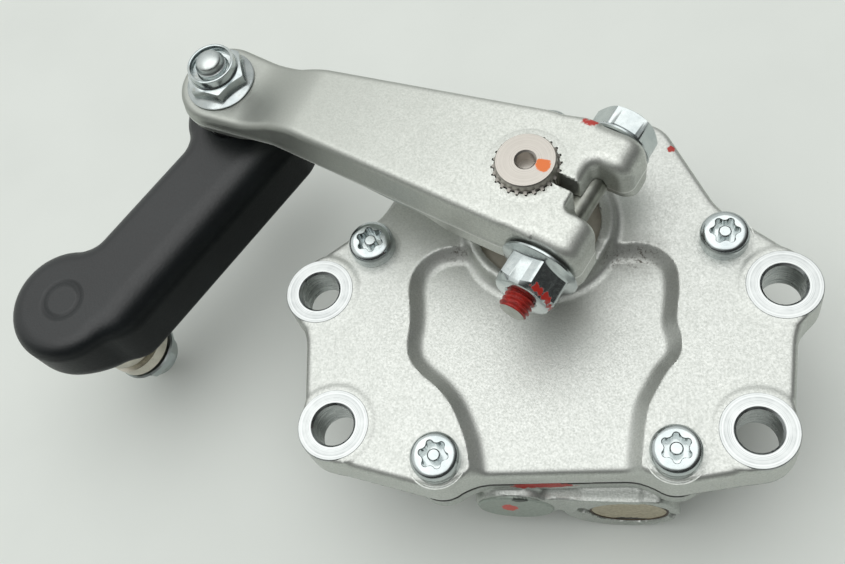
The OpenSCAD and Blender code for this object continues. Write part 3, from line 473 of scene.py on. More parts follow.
# turned aluminium or steel: bright, with rings left by the tool about every 0.3 mm
def turnedMetal(name, code, groove, centres, rough, ringMm=0.3, deepMm=0.02, paints=()):
    material, tree, shader, at = startMaterial(name)
    far = farFrom(tree, at, centres[0], (1, 1, 0))
    for centre in centres[1:]:
        far = addNode(tree, "Math", {0: far, 1: farFrom(tree, at, centre, (1, 1, 0))}, operation="MINIMUM")
    line = addNode(tree, "TexNoise", {"W": far, "Scale": perMm / ringMm, "Detail": 3}, noise_dimensions="1D")
    deep = addNode(tree, "MapRange", {0: line, 1: 0.4, 2: 0.62})
    worn = patches(tree, at, 2.5, 0.3, 0.7, 0.25)
    deep = addNode(tree, "Math", {0: deep, 1: worn}, operation="MULTIPLY")
    colour = addNode(tree, "Mix", {0: deep, 6: linear(code), 7: linear(groove)})
    colour, masks = paintOver(tree, at, colour, paints)
    setInputs(tree, shader, {
        "Base Color": colour, "Metallic": bareShare(tree, masks),
        "Roughness": addNode(tree, "MapRange", {0: line, 1: 0.2, 2: 0.8, 3: rough[0], 4: rough[1]}),
        "Normal": addNode(tree, "Bump", {"Height": line, "Distance": deepMm * mm, "Strength": 0.6})})
    return material


# drilled hole: rings of the drill about every 0.3 mm of depth, with dull patches of 2 mm
def drilledMetal(name, code, groove):
    material, tree, shader, at = startMaterial(name)
    drawn = addNode(tree, "VectorMath", {0: at, 1: (260, 260, 3300)}, operation="MULTIPLY")
    line = addNode(tree, "TexNoise", {"Vector": drawn, "Scale": 1, "Detail": 3})
    deep = addNode(tree, "MapRange", {0: line, 1: 0.35, 2: 0.65})
    setInputs(tree, shader, {
        "Base Color": addNode(tree, "Mix", {0: deep, 6: linear(code), 7: linear(groove)}),
        "Metallic": 1.0,
        "Roughness": patches(tree, at, 2, 0.3, 0.7, 0.2, 0.4),
        "Normal": addNode(tree, "Bump", {"Height": line, "Distance": 0.03 * mm, "Strength": 0.6})})
    return material


# zinc-plated steel: bright blue-white plate over slightly uneven steel, stained in places
def zincPlate(name, code="#c9cfce", rough=(0.12, 0.27), paints=(), stain=None):
    material, tree, shader, at = startMaterial(name)
    tone = patches(tree, at, 4, 0.3, 0.7, detail=4)
    colour = addNode(tree, "Mix", {0: tone, 6: linear(code), 7: linear("#b2babb")})
    if stain:
        spots = patches(tree, at, 2.2, 0.55, 0.75, 0, 0.4, detail=5, rough=0.7)
        colour = addNode(tree, "Mix", {0: spots, 6: colour, 7: linear(stain)})
    colour, masks = paintOver(tree, at, colour, paints, 0.1, 0.4)
    dents = addNode(tree, "TexNoise", {"Vector": at, "Scale": perMm / 1.1, "Detail": 3, "Roughness": 0.55})
    setInputs(tree, shader, {
        "Base Color": colour, "Metallic": bareShare(tree, masks),
        "Roughness": patches(tree, at, 0.8, 0.3, 0.7, *rough, detail=4),
        "Normal": addNode(tree, "Bump", {"Height": dents, "Distance": 0.012 * mm, "Strength": 0.2})})
    return material


# glass-filled nylon moulding: charcoal with a 0.5 mm spark texture, a painted sheen that
# sets more specular on its top than on its sides by facing, and the sunk moulded ring duller
def blackNylon(name, ringAt, ringRadius):
    material, tree, shader, at = startMaterial(name)
    grain = addNode(tree, "TexNoise", {"Vector": at, "Scale": perMm / 0.5, "Detail": 3, "Roughness": 0.6})
    gap = farFrom(tree, at, (*ringAt, 0), (1, 1, 0))
    gap = addNode(tree, "Math", {0: gap, 1: ringRadius * mm}, operation="SUBTRACT")
    gap = addNode(tree, "Math", {0: gap}, operation="ABSOLUTE")
    ring = addNode(tree, "MapRange", {0: gap, 2: 1.1 * mm}, interpolation_type="SMOOTHSTEP")
    tone = patches(tree, at, 14, 0.3, 0.7)
    up = addNode(tree, "SeparateXYZ", {0: addNode(tree, "TexCoord", {}, "Normal")}, "Z")
    # painted sheen: specular strength rises with facing up, more on the top than on the sides
    sheen = addNode(tree, "MapRange", {0: up, 1: 0.25, 2: 0.9, 3: 0.15, 4: 0.62})
    clear = addNode(tree, "MapRange", {0: ring, 3: 0.72})
    dent = addNode(tree, "Bump", {"Height": ring, "Distance": 0.3 * mm, "Strength": 0.8})
    setInputs(tree, shader, {
        "Base Color": addNode(tree, "Mix", {0: tone, 6: linear("#14191b"), 7: linear("#0e1214")}),
        "Roughness": addNode(tree, "MapRange", {0: grain, 1: 0.3, 2: 0.7, 3: 0.33, 4: 0.45}),
        "Specular IOR Level": addNode(tree, "Math", {0: sheen, 1: clear}, operation="MULTIPLY"),
        "Normal": addNode(tree, "Bump", {
            "Height": grain, "Normal": dent, "Distance": 0.05 * mm, "Strength": 0.8})})
    return material


# coats, rubbers and plain metals: two tones in soft patches, uneven gloss and a fine relief
def mottled(name, code, other, metallic, rough, patch, relief, marks=()):
    material, tree, shader, at = startMaterial(name)
    patchMm, patchFrom = patch
    reliefMm, deepMm, strength = relief
    tone = patches(tree, at, patchMm, patchFrom, 0.7, detail=4)
    colour = addNode(tree, "Mix", {0: tone, 6: linear(code), 7: linear(other)})
    fine = {"Vector": at, "Scale": perMm / reliefMm, "Detail": 4, "Roughness": 0.55}
    fine = addNode(tree, "TexNoise", fine)
    setInputs(tree, shader, {
        "Base Color": paintOver(tree, at, colour, marks)[0], "Metallic": metallic,
        "Roughness": patches(tree, at, 0.6, 0.3, 0.7, *rough),
        "Normal": addNode(tree, "Bump", {"Height": fine, "Distance": deepMm * mm, "Strength": strength})})
    return material


# patches (mm across, where they start) and relief (mm across, mm deep, strength) of
# brushed-on marking paint, dull paint, nitrile rubber with a faint bloom, machined grain
brushed = {"patch": (0.9, 0.35), "relief": (0.5, 0.03, 0.5)}
coated = {"patch": (0.7, 0.3), "relief": (0.5, 0.03, 0.4)}
bloomed = {"patch": (3, 0.35), "relief": (0.5, 0.02, 0.4)}
machined = {"patch": (3, 0.3), "relief": (0.6, 0.015, 0.3)}

redPaint, orangePaint, grime = "#b5342c", "#e9772f", "#4a443a"
# marks: centre, radius, squash of the axes and colour; soils also the film's share
seamPaint = ((0.6, -9.8, -1.2), 1.55, (0.23, 0.6, 1), redPaint)
coverPaint = ((27.04, 62.71, 8.6), 0.75, (1, 1, 0.5), redPaint)
armPaint = ((11.2, 54.3, 32.8), 0.6, (0.32, 0.7, 1), redPaint)
shaftPaint = ((2.43, 43.6, 35), 1.45, (1, 1, 0.3), orangePaint)
# painted shade: a dark crescent at the cap's lower rim
capRimShade = ((17, -10.4, -23.4), 2.7, (0.36, 1, 1), "#2b2722")
# a red paint dab on the plug, and painted shade where its small slot is
plugPaintAndSlotShade = [((-7.3, -11.4, -10.6), 1.7, (1, 0.5, 0.65), "#d8564a"),
             ((-4.7, -11.4, -4.2), 1.1, (0.75, 0.5, 1), "#4a504b")]
coverSoils = [((20.5, 37.8, 7), 4.2, (1, 1.3, 1), grime, 0.22),
              ((14.5, 37.5, 7.5), 2.6, (1, 1, 1), grime, 0.15),
              ((-18, 39.6, 7), 3.2, (1, 1.6, 1), grime, 0.12)]
# painted shade over the arm's pad end: centre, radius, soft edge and colour
armPaintedShade = ((-70, 73, 30), 44, 28, "#b0b3ad")
lugCentres = [(x, y, 9) for x, y in places["lugs"]]
finish = {
    "cover": castAluminium("castCover", "#d6d8d4", "#c1c4bf", (0.42, 0.56), [coverPaint, seamPaint],
                           coverSoils, seamAt=0.0),
    "case": castAluminium("castCase", "#c9ccc8", "#b0b4af", (0.42, 0.58), [seamPaint], seamAt=0.0),
    "arm": castAluminium("forgedArm", "#d7d9d4", "#c0c3bd", (0.40, 0.54), [armPaint], partingAt=24.6,
                         paintedShade=armPaintedShade),
    "machined": turnedMetal("machinedRing", "#cacdcc", "#a0a4a4", lugCentres, (0.26, 0.42)),
    "drilled": drilledMetal("drilledHole", "#c9cdcc", "#8d9292"),
    "shaftEnd": turnedMetal("turnedShaft", "#bcb7b0", "#b0aba4", [(*places["shaft"], 35)], (0.28, 0.44),
                            0.2, 0.004, [shaftPaint]),
    "zinc": zincPlate("zincPlate"),
    "satinZinc": zincPlate("satinZinc", "#b4bab8", (0.31, 0.46), stain="#8d8570"),
    "paleCollar": mottled("paleCollar", "#d3cec2", "#bdb8ab", 1.0, (0.26, 0.40), **machined),
    "dirtyThread": mottled("dirtyThread", "#4b4a44", "#6a675e", 0.7, (0.43, 0.57), **machined),
    "studEnd": zincPlate("studEnd", "#d4d8d5", (0.25, 0.40)),
    "zincStained": zincPlate("zincPlateStained", stain="#9a8a6a"),
    "link": blackNylon("blackNylon", places["lowerStud"], 4.2),
    "rubber": mottled("nitrileRubber", "#17181a", "#2a2b2b", 0.0, (0.6, 0.8), **bloomed),
    "dustySeal": mottled("dustySeal", "#a8a294", "#c0bbad", 0.0, (0.6, 0.8), **bloomed),
    "dullSteel": mottled("dullSteel", "#b4b6b0", "#97998f", 1.0, (0.33, 0.47), **machined),
    "alloy": mottled("machinedAlloy", "#c9cbcb", "#b2b5b6", 1.0, (0.28, 0.42), **machined),
    "steel": mottled("groundSteel", "#b6b7b8", "#9fa1a3", 1.0, (0.21, 0.35), **machined),
    "springSteel": mottled("oiledSpring", "#55565a", "#424347", 1.0, (0.28, 0.42), **machined),
    "bronze": mottled("sinteredBronze", "#a5824c", "#8f6c3d", 1.0, (0.33, 0.47), **machined),
    "cream": mottled("creamPlastic", "#c9c1a8", "#a79c80", 0.0, (0.4, 0.55), **coated, marks=[capRimShade]),
    "rusty": mottled("rustySteel", "#3c342b", "#6d6152", 0.6, (0.48, 0.62), **machined),
    "plug": mottled("plugFinish", "#aab3ab", "#98a199", 0.35, (0.4, 0.55), **coated, marks=plugPaintAndSlotShade),
    "race": mottled("racePlastic", "#e2dfd0", "#d3cfbd", 0.0, (0.38, 0.52), **machined),
}
print("materials made")

# cast cover: its outline is circles and tangent strips with the inner corners filled,
# its top is a plateau with a sunk fan-shaped field and a collar round the shaft
cover = {
    "face": 8.6, "recess": 2.6, "recessWall": 3.6, "edge": 1.5, "draft": 0.045,
    "lugRadius": 7.8, "lobeRadius": 6.2, "cornerRadius": 8.2, "innerFill": 11,
    "sideRear": 3.4, "sideFront": 6.8, "frontHalf": 3.2, "lugOpening": 6.0, "underEdge": 0.55,
    "collarAt": (-0.8, 45), "collarRadius": 15.6, "collarTop": 10.4, "collarFill": 2.4, "bore": 13.3,
    "ringRadius": 7.5, "ringTop": 9.0, "holeRadius": 4.25, "padRadius": 8.6, "padTop": 8.85,
    "padEdge": 0.6, "collarEdge": 0.7, "seatIn": 3.2, "seatRim": 6.0,
    "recessLeft": [(-14, 38.6), (-19.3, 38.6), (-23.2, 37.3), (-25.8, 34.3), (-26.5, 30.8), (-26, 26.6),
                   (-25.7, 22.5), (-25.9, 18.4), (-25.3, 15.4), (-23.2, 12.7), (-19.6, 9.7), (-16.5, 6.2),
                   (-14.6, 2.8), (-13.2, -0.4), (-12.2, -3.2), (-11.3, -8), (-11, -14)],
    "recessRight": [(18, -14), (18.1, -7.2), (18.4, -3.2), (18.9, 1.4), (19.8, 5.6), (21.5, 9.2),
                    (23.5, 12.8), (25.8, 15.8), (26.2, 18.6), (25.4, 22.5), (25.6, 26), (26, 30),
                    (25.6, 34.3), (23.3, 37.2), (19.8, 38.5), (14.5, 38.4)],
    "step": 0.5,
}


def coverOutline(p, withLugs):
    lug, lobe, corner = cover["lugRadius"], cover["lobeRadius"], cover["cornerRadius"]
    lugs, screws, corners = places["lugs"], places["screws"], places["corners"]
    x, y = p.x, p.y
    for sx, sy in screws:
        p.join(np.hypot(x - sx, y - sy) - lobe)
    for i in (0, 1):
        p.join(stripDistance(x, y, screws[i], lobe / 2, corners[i], corner))
        if withLugs:
            p.join(stripDistance(x, y, lugs[i], cover["sideRear"], lugs[i + 2], cover["sideFront"]))
        else:
            p.join(stripDistance(x, y, screws[i], lobe, screws[i + 2], lobe))
    inner = [screws[0], screws[2], screws[3], screws[1], corners[1], corners[0]]
    if withLugs:
        for i in range(4):
            p.join(stripDistance(x, y, lugs[i], lug, screws[i], lobe))
        inner[1:1] = [lugs[0], lugs[2]]
        inner[5:5] = [lugs[3], lugs[1]]
    p.join(polygonDistance(x, y, inner))
    p.join(stripDistance(x, y, corners[0], corner, corners[1], corner))
    p.join(stripDistance(x, y, screws[2], cover["frontHalf"], screws[3], cover["frontHalf"]))
    return p.fill(cover["innerFill"])


coverPlan = coverOutline(plan((-70, -26), (70, 84)), True)
recessPlan = plan((-45, -26), (45, 60))
recessEdge = curveThrough(cover["recessLeft"] + cover["recessRight"])
recessPlan.join(polygonDistance(recessPlan.x, recessPlan.y, recessEdge))
print("cover outlines made")


def coverField(x, y, z):
    # outline leaning in with height, under a top that is sunk where the recess is; the
    # recess wall mixes a curve that is steep at the bottom with an even one
    edge = coverPlan.at(x, y) + cover["draft"] * z
    inward = np.clip(0.5 - recessPlan.at(x, y) / cover["recessWall"], 0, 1)
    sunk = 0.65 * (1 - (1 - inward) ** 2) + 0.35 * smooth(inward)
    body = roundMax(edge, 0.85 * (z - cover["face"] + cover["recess"] * sunk), cover["edge"])
    lugDistance = [np.hypot(x - lx, y - ly) for lx, ly in places["lugs"]]
    for far in lugDistance:
        pad = roundMax(far - cover["padRadius"], z - cover["padTop"], cover["padEdge"])
        body = roundMin(body, roundMax(pad, edge, 1.0), cover["padEdge"])
    cx, cy = cover["collarAt"]
    collar = np.hypot(x - cx, y - cy) - cover["collarRadius"]
    collar = roundMax(collar, z - cover["collarTop"], cover["collarEdge"])
    body = roundMax(roundMin(body, collar, cover["collarFill"]), -z, cover["underEdge"])
    sx, sy = places["shaft"]
    body = np.maximum(body, cover["bore"] - np.hypot(x - sx, y - sy))
    for far in lugDistance:
        body = np.maximum(body, cover["lugOpening"] - far)
    return body


def machinedRing():
    # faced ring of a lug, with its outer edge broken
    outer, hole, top = cover["ringRadius"], cover["holeRadius"], cover["ringTop"]
    return profileGrid([(hole + 0.4, 0), (outer - 0.3, 0), (outer - 0.3, 5), (outer, 6),
                        (outer, top - 0.15), (outer - 0.15, top), (hole + 0.45, top)], 128)


def drilledHole():
    # wall of a lug's hole, with a chamfer at both ends
    hole, top = cover["holeRadius"], cover["ringTop"]
    return profileGrid([(hole + 0.45, top), (hole, top - 0.45), (hole, 0.4), (hole + 0.4, 0)], 128)


def screwSeat():
    # faced ring under each screw head, a hair above the cast face
    f, inner, rim = cover["face"], cover["seatIn"], cover["seatRim"]
    return profileGrid([(inner, f - 0.4), (rim - 0.5, f - 0.4), (rim - 0.25, f + 0.03), (rim, f + 0.03),
                        (rim, f - 2), (inner, f - 2)], loop=True)


up = (0, 0, 1)
coverParts = [(*castSurface(coverField, (-59, -16, -1), (59, 75, 12), cover["step"]), finish["cover"])]
for lx, ly in places["lugs"]:
    coverParts.append((*turned(machinedRing(), (lx, ly, 0), up), finish["machined"]))
    coverParts.append((*turned(drilledHole(), (lx, ly, 0), up), finish["drilled"]))
for sx, sy in places["screws"]:
    coverParts.append((*turned(screwSeat(), (sx, sy, 0), up), finish["cover"]))
place("castCover", coverParts, "housing", ["top_cover"])

# lower case: a flange with the cover's outline less its lugs, a fan-shaped body under
# it, a tapered boss at each screw and two valve bosses that lie along Y at its front
case = {
    "depth": 26.9, "draft": 0.03, "edge": 3.0, "flange": 4.8, "flangeEdge": 1.3, "faceY": -10.85,
    "fanRadius": 41.4, "fanHalf": 52, "fanBack": 6.85, "hubRadius": 17.45, "fanCorner": 5,
    "setIn": 0.05, "draftFrom": -5, "fanTop": -1, "fanTopEdge": 0.4, "fanFill": 1.5,
    "bossFrom": -4, "bossLow": 8.5, "bossTop": 5.5, "bossTaper": 0.3, "bossEdge": 0.8,
    "tubeEdge": 0.6, "flatEdge": 0.5, "tubeFill": 1.0, "topEdge": 0.45, "slotDeep": 2,
    "accAt": (17, -14.5), "accBossAt": (15.4, -14.5), "accBore": 8.3, "accBoss": 12.0, "accFlat": -5.3,
    "accDeep": 14,
    "prySlots": [(7.6, -13.7, 1.2, 3.2), (26.2, -16.6, 1.4, 2.2)],
    "reliefAt": (-6, -11), "reliefBore": 5.5, "reliefBoss": 8.5, "reliefFlat": -2.8, "reliefDeep": 7,
    "webAt": (9.5, -9.6), "webHalf": (9.5, 4.1), "boreEnd": -5.7, "step": 0.5,
}
casePlan = coverOutline(plan((-70, -26), (70, 84)), False)


def caseField(x, y, z):
    # flange, fan round the shaft, screw cones, two tubes along Y and a web between them,
    # joined with small fillets, less the pry slots and the two bores
    body = roundMax(casePlan.at(x, y) + case["setIn"], -z - case["flange"], case["flangeEdge"])
    dx, dy = x - places["shaft"][0], y - places["shaft"][1]
    far = np.hypot(dx, dy)
    turn = math.radians(case["fanHalf"])
    wedge = np.abs(dx) * math.cos(turn) + (dy - case["fanBack"]) * math.sin(turn)
    fan = roundMax(far - case["fanRadius"], wedge, case["fanCorner"])
    fan = roundMin(far - case["hubRadius"], fan, case["fanCorner"]) - case["draft"] * (z - case["draftFrom"])
    fan = roundMax(roundMax(fan, -z - case["depth"], case["edge"]), z - case["fanTop"], case["fanTopEdge"])
    body = roundMin(body, fan, case["fanFill"])
    for sx, sy in places["screws"]:
        cone = np.hypot(x - sx, y - sy) - case["bossTop"] - case["bossTaper"] * (z + case["flange"])
        cone = roundMax(np.maximum(cone, z - case["bossFrom"]), -z - case["bossLow"], case["bossEdge"])
        body = roundMin(body, cone, case["bossEdge"])
    for at, kind in (("accBossAt", "acc"), ("reliefAt", "relief")):
        bx, bz = case[at]
        tube = np.hypot(x - bx, z - bz) - case[kind + "Boss"]
        tube = roundMax(tube, z - case[kind + "Flat"], case["flatEdge"])
        tube = roundMax(tube, case["faceY"] - y, case["tubeEdge"])
        body = roundMin(body, np.maximum(tube, y - case[kind + "Deep"]), case["tubeFill"])
    (wx, wz), (wide, tall) = case["webAt"], case["webHalf"]
    web = np.maximum(np.abs(x - wx) - wide, np.abs(z - wz) - tall)
    web = np.maximum(web, np.maximum(case["faceY"] + 0.2 - y, y))
    body = roundMax(roundMin(body, web, case["tubeFill"]), z, case["topEdge"])
    for px, pz, wide, tall in case["prySlots"]:
        inward = (y - case["faceY"]) / case["slotDeep"]
        slot = np.sqrt(((x - px) / wide) ** 2 + inward ** 2 + ((z - pz) / tall) ** 2)
        body = np.maximum(body, wide * (1 - slot))
    for kind in ("acc", "relief"):
        bx, bz = case[kind + "At"]
        bore = np.hypot(x - bx, z - bz) - case[kind + "Bore"]
        body = np.maximum(body, -np.maximum(bore, y - case["boreEnd"]))
    return body


caseParts = [(*castSurface(caseField, (-46, -14, -28), (46, 75, 1), case["step"]), finish["case"])]
place("castCase", caseParts, "housing", ["lower_case"])

# front closures: a nearly flush plug, and a dished cap whose rim is held by a thin snap ring
closure = {
    "plugRadius": 7.9, "plugFace": 11.4, "plugBack": 10.7, "plugBody": 5.4, "plugEnd": 4.6,
    "capRadius": 7.95, "capFace": 10.45, "capBack": 5.7, "capDish": 0.2,
    "ringIn": 7.55, "ringOut": 8.05, "ringFace": 10.6, "ringThick": 0.4, "broken": 0.3,
}


def frontDisc(radius, face, back, dish):
    # face drawn in by dish towards its middle, edge broken
    b = closure["broken"]
    return profileGrid([(radius, back), (radius, face - b), (radius - b, face),
                        (radius * 0.75, face - dish * 0.5), (radius * 0.4, face - dish)], capLow=True, capHigh=True)


def frontward(part, at):
    # a part made on Z, turned to the front of the bore at (x, z)
    return turned(part, (at[0], 0, at[1]), (0, -1, 0))


plugBody = [(closure["plugBody"], closure["plugEnd"]), (closure["plugBody"], closure["plugBack"] + 0.1)]
plugBody = profileGrid(plugBody, 64, capLow=True, capHigh=True)
plugDisc = frontDisc(closure["plugRadius"], closure["plugFace"], closure["plugBack"], 0.0)
plugParts = [(*frontward(plugDisc, case["reliefAt"]), finish["plug"]),
             (*frontward(plugBody, case["reliefAt"]), finish["alloy"])]
place("frontPlug", plugParts, "housing", ["front_plug"])
capDisc = frontDisc(closure["capRadius"], closure["capFace"], closure["capBack"], closure["capDish"])
place("accumulatorCap", [(*frontward(capDisc, case["accAt"]), finish["cream"])],
      "housing", ["accumulator_cap"])
inner, outer, face = closure["ringIn"], closure["ringOut"], closure["ringFace"]
back = face - closure["ringThick"]
snapRing = profileGrid([(inner, back), (outer, back), (outer, face), (inner + 0.1, face)], loop=True)
place("snapRing", [(*frontward(snapRing, case["accAt"]), finish["rusty"])],
      "housing", ["snap_ring"])

# forged arm: bar outline by tangent strips, S-shaped step down to the pad, split
# clamp with two rounded ears round the pinch bolt
arm = {
    "top": 33, "low": 22, "clampLow": 19, "padTop": 28, "stepFrom": 49, "stepTo": 67,
    "clampRadius": 14.3, "neckAt": (57, 0.5), "neckRadius": 8.4, "padAt": 75, "padRadius": 10,
    "edge": 1.4, "earRound": 2.4, "lowEdge": 0.7, "neckRise": 1.8, "innerFill": 7,
    "parting": 24.6, "draft": 0.07, "flash": 0.28, "flashHalf": 0.8,
    "earFront": 14, "earRear": 15.6, "earEnd": 18.4, "earLow": 16.8, "earEdge": 4.8,
    "notchFrom": 11.0, "notchFront": 5.2, "notchRear": 6.6, "notchDeep": 7, "notchCorner": 1.6,
    "notchEdge": (0.9, 2.6), "slotHalf": 1.15, "bore": 7.3, "sleeve": 6.45, "groove": 7.0,
    "clampTo": (13, 19), "riseFrom": (22, 42), "riseTo": (68, 60), "slope": 0.9, "earDrop": (7, 13),
    "earUnder": 4.0, "earFrom": (4.5, -2), "flare": (2.4, 6.2), "flareSlope": 0.62, "flareFrom": 12,
    "rearFlare": 2.2, "rearDeep": 5, "softFrom": 4, "slotEdge": 0.35,
    "boltHole": 3.1, "studHole": 4.3, "teeth": 24, "step": 0.42,
}


def turnXY(x, y, origin, degrees):
    # x and y seen from origin along an axis turned by degrees
    c, s = math.cos(math.radians(degrees)), math.sin(math.radians(degrees))
    dx, dy = x - origin[0], y - origin[1]
    return dx * c + dy * s, dy * c - dx * s


armPlan = plan((-95, 20), (32, 95))
au, av = turnXY(armPlan.x, armPlan.y, places["shaft"], places["armTurn"])
armPlan.join(stripDistance(au, av, (0, 0), arm["clampRadius"], arm["neckAt"], arm["neckRadius"]))
armPlan.join(stripDistance(au, av, arm["neckAt"], arm["neckRadius"], (arm["padAt"], 0), arm["padRadius"]))
su, sv = turnXY(armPlan.x, armPlan.y, places["shaft"], places["slotTurn"])
armPlan.join(polygonDistance(su, sv, [
    (-2, -arm["earFront"]), (9, -arm["earFront"]), (9, arm["earRear"]), (5, arm["earRear"]), (-6, 12.6)]))
armPlan.fill(arm["innerFill"])


def armField(x, y, z):
    # u, v run along and across the bar, p, q out along the clamp's slot and across it: the
    # bar between its top and underside, the ears, less notch, slot and holes
    u, v = turnXY(x, y, places["shaft"], places["armTurn"])
    p, q = turnXY(x, y, places["shaft"], places["slotTurn"])
    level = np.abs(z - arm["parting"])
    lean = arm["draft"] * level - arm["flash"] * np.clip(1 - level / arm["flashHalf"], 0, 1)
    top = arm["top"] - (arm["top"] - arm["padTop"]) * rise(u, arm["stepFrom"], arm["stepTo"])
    low = arm["low"] - (arm["low"] - arm["clampLow"]) * (1 - rise(u, *arm["clampTo"]))
    low = low + arm["neckRise"] * rise(u, *arm["riseFrom"]) * rise(u, *arm["riseTo"])
    bar = roundMax(armPlan.at(x, y) + lean, arm["slope"] * (z - top), arm["edge"])
    bar = roundMax(bar, arm["slope"] * (low - z), arm["lowEdge"])
    end = roundMax(p - arm["earEnd"], z - arm["top"], arm["earEdge"])
    under = arm["clampLow"] - (arm["clampLow"] - arm["earLow"]) * rise(p, *arm["earDrop"])
    end = roundMax(end, arm["slope"] * (under - z), arm["earUnder"])
    middle, half = (arm["earRear"] - arm["earFront"]) / 2, (arm["earRear"] + arm["earFront"]) / 2
    ears = roundMax(np.abs(q - middle) - half + lean, end, arm["earRound"])
    body = np.minimum(bar, np.maximum(ears, np.where(q > 0, *arm["earFrom"]) - p))
    deep = smooth((arm["top"] - z) / arm["notchDeep"])
    narrow, wide = arm["flare"]
    flare = np.clip(narrow + arm["flareSlope"] * (p - arm["flareFrom"]), narrow, wide)
    front = arm["notchFront"] + (flare - arm["notchFront"]) * deep
    rear = arm["notchRear"] + arm["rearFlare"] * smooth((arm["parting"] - z) / arm["rearDeep"])
    notch = roundMax(arm["notchFrom"] - p, np.maximum(q - rear, -q - front), arm["notchCorner"])
    sharp, soft = arm["notchEdge"]
    body = roundMax(body, -notch, sharp + (soft - sharp) * smooth(q / arm["softFrom"]))
    body = roundMax(body, -np.maximum(np.abs(q) - arm["slotHalf"], -p), arm["slotEdge"])
    body = np.maximum(body, arm["bore"] - np.hypot(p, q))
    body = np.maximum(body, arm["boltHole"] - np.hypot(p - places["boltOut"], z - places["boltHeight"]))
    ux, uy = places["upperStud"]
    return np.maximum(body, arm["studHole"] - np.hypot(x - ux, y - uy))


def serratedSleeve():
    # the clamp's bore: a ring section carried round the shaft, its inner radius
    # stepping out at each groove, left open at the slot
    edge = math.degrees(math.asin((arm["slotHalf"] + 0.2) / arm["bore"]))
    a = np.radians(np.linspace(edge, 360 - edge, arm["teeth"] * 14 + 1))
    wave = np.clip(4 * (np.cos(arm["teeth"] * a) - 0.45), 0, 1)
    inner = arm["sleeve"] + (arm["groove"] - arm["sleeve"]) * wave
    outer = np.full(a.shape, arm["bore"] + 0.9)
    low, high = arm["clampLow"] + 0.1, arm["top"] + 0.02
    r = np.stack([inner, inner, outer, outer + 0.4], 1)
    z = np.broadcast_to(np.array([low, high, high, high - 0.1]), r.shape)
    turn = a + math.radians(places["slotTurn"])
    pts = np.stack([places["shaft"][0] + r * np.cos(turn)[:, None],
                    places["shaft"][1] + r * np.sin(turn)[:, None], z], -1).reshape(-1, 3)
    i = np.arange(len(a) - 1)[:, None] * 4
    k = np.arange(4)[None, :]
    quads = np.stack([i + k, i + (k + 1) % 4, i + 4 + (k + 1) % 4, i + 4 + k], -1).reshape(-1, 4)
    last = (len(a) - 1) * 4
    return pts, np.vstack([quads, [[3, 2, 1, 0]], [[last, last + 1, last + 2, last + 3]]]), noTris


armParts = [(*castSurface(armField, (-83, 20, 14), (24, 86, 34), arm["step"]), finish["arm"]),
            (*serratedSleeve(), finish["arm"])]
place("forgedArm", armParts, "arm", ["damper_arm"])

# link cover: two round ends, the shank set in on one side, all corners softened
link = {
    "top": 18, "low": 0.4, "length": 58.6, "radius": 13.2, "inset": 4.6, "topEdge": 4.0, "lowEdge": 1.5,
    "sideFrom": 6, "sideOut": 16, "sideCorner": 10, "sideEdge": 6.8, "footEdge": 7.5,
    "nearAcross": (0, -8), "nearAlong": (-4, 8), "footAlong": (-10, 4),
    "mouth": 8.1, "lowMouth": 6, "highMouth": 13, "innerFill": 5.5, "step": 0.5,
}
linkPlan = plan((-22, -22), (82, 22))
linkSide = [(link["sideFrom"], -link["sideOut"]), (link["length"], -link["sideOut"]),
            (link["length"], link["inset"]), (0, link["inset"])]
linkPlan.join(polygonDistance(linkPlan.x, linkPlan.y, linkSide))
for end, side in ((0, link["sideFrom"]), (link["length"], link["length"])):
    linkPlan.join(np.hypot(linkPlan.x - end, linkPlan.y) - link["radius"])
    inFrom = linkPlan.y + link["sideOut"] - link["sideCorner"]
    linkPlan.join(np.hypot(linkPlan.x - side, inFrom) - link["sideCorner"])
linkPlan.fill(link["innerFill"])


def linkField(x, y, z):
    # u runs along the link from its lower stud; the top edge is rounder on the near side and
    # the lower edge at the foot, and each ball's mouth is sunk in
    u, v = turnXY(x, y, places["lowerStud"], places["linkTurn"])
    edge = linkPlan.at(u, v)
    near = rise(v, *link["nearAcross"]) * rise(u, *link["nearAlong"])
    body = roundMax(edge, z - link["top"], link["topEdge"] + (link["sideEdge"] - link["topEdge"]) * near)
    under = link["lowEdge"] + (link["footEdge"] - link["lowEdge"]) * (1 - rise(u, *link["footAlong"]))
    body = roundMax(body, link["low"] - z, under)
    lowMouth = np.maximum(np.hypot(u, v) - link["mouth"], z - link["lowMouth"])
    highMouth = np.maximum(np.hypot(u - link["length"], v) - link["mouth"], link["highMouth"] - z)
    return np.maximum(body, -np.minimum(lowMouth, highMouth))


linkParts = [(*castSurface(linkField, (-119, 9, -1), (-55, 89, 19.5), link["step"]), finish["link"])]
place("linkCover", linkParts, "link", ["link_cover"])
print("castings made")


around = 144

# six-lobe screw: head profile of radii, then a lobed socket with a centre pin
screw = {
    "head": 4.95, "height": 4.15, "round": 1.45, "seat": 8.2, "shank": 3.0, "end": -14.2,
    "lobeOut": 2.95, "lobeIn": 2.2, "pin": 1.3, "deep": 2.2, "turns": (12, 30, 22, 0, 40),
}


def lobeRadius(a):
    # six round lobes between an inner and an outer radius
    mid, half = (screw["lobeOut"] + screw["lobeIn"]) / 2, (screw["lobeOut"] - screw["lobeIn"]) / 2
    c = np.cos(6 * a)
    return mid + half * np.sign(c) * np.abs(c) ** 0.7


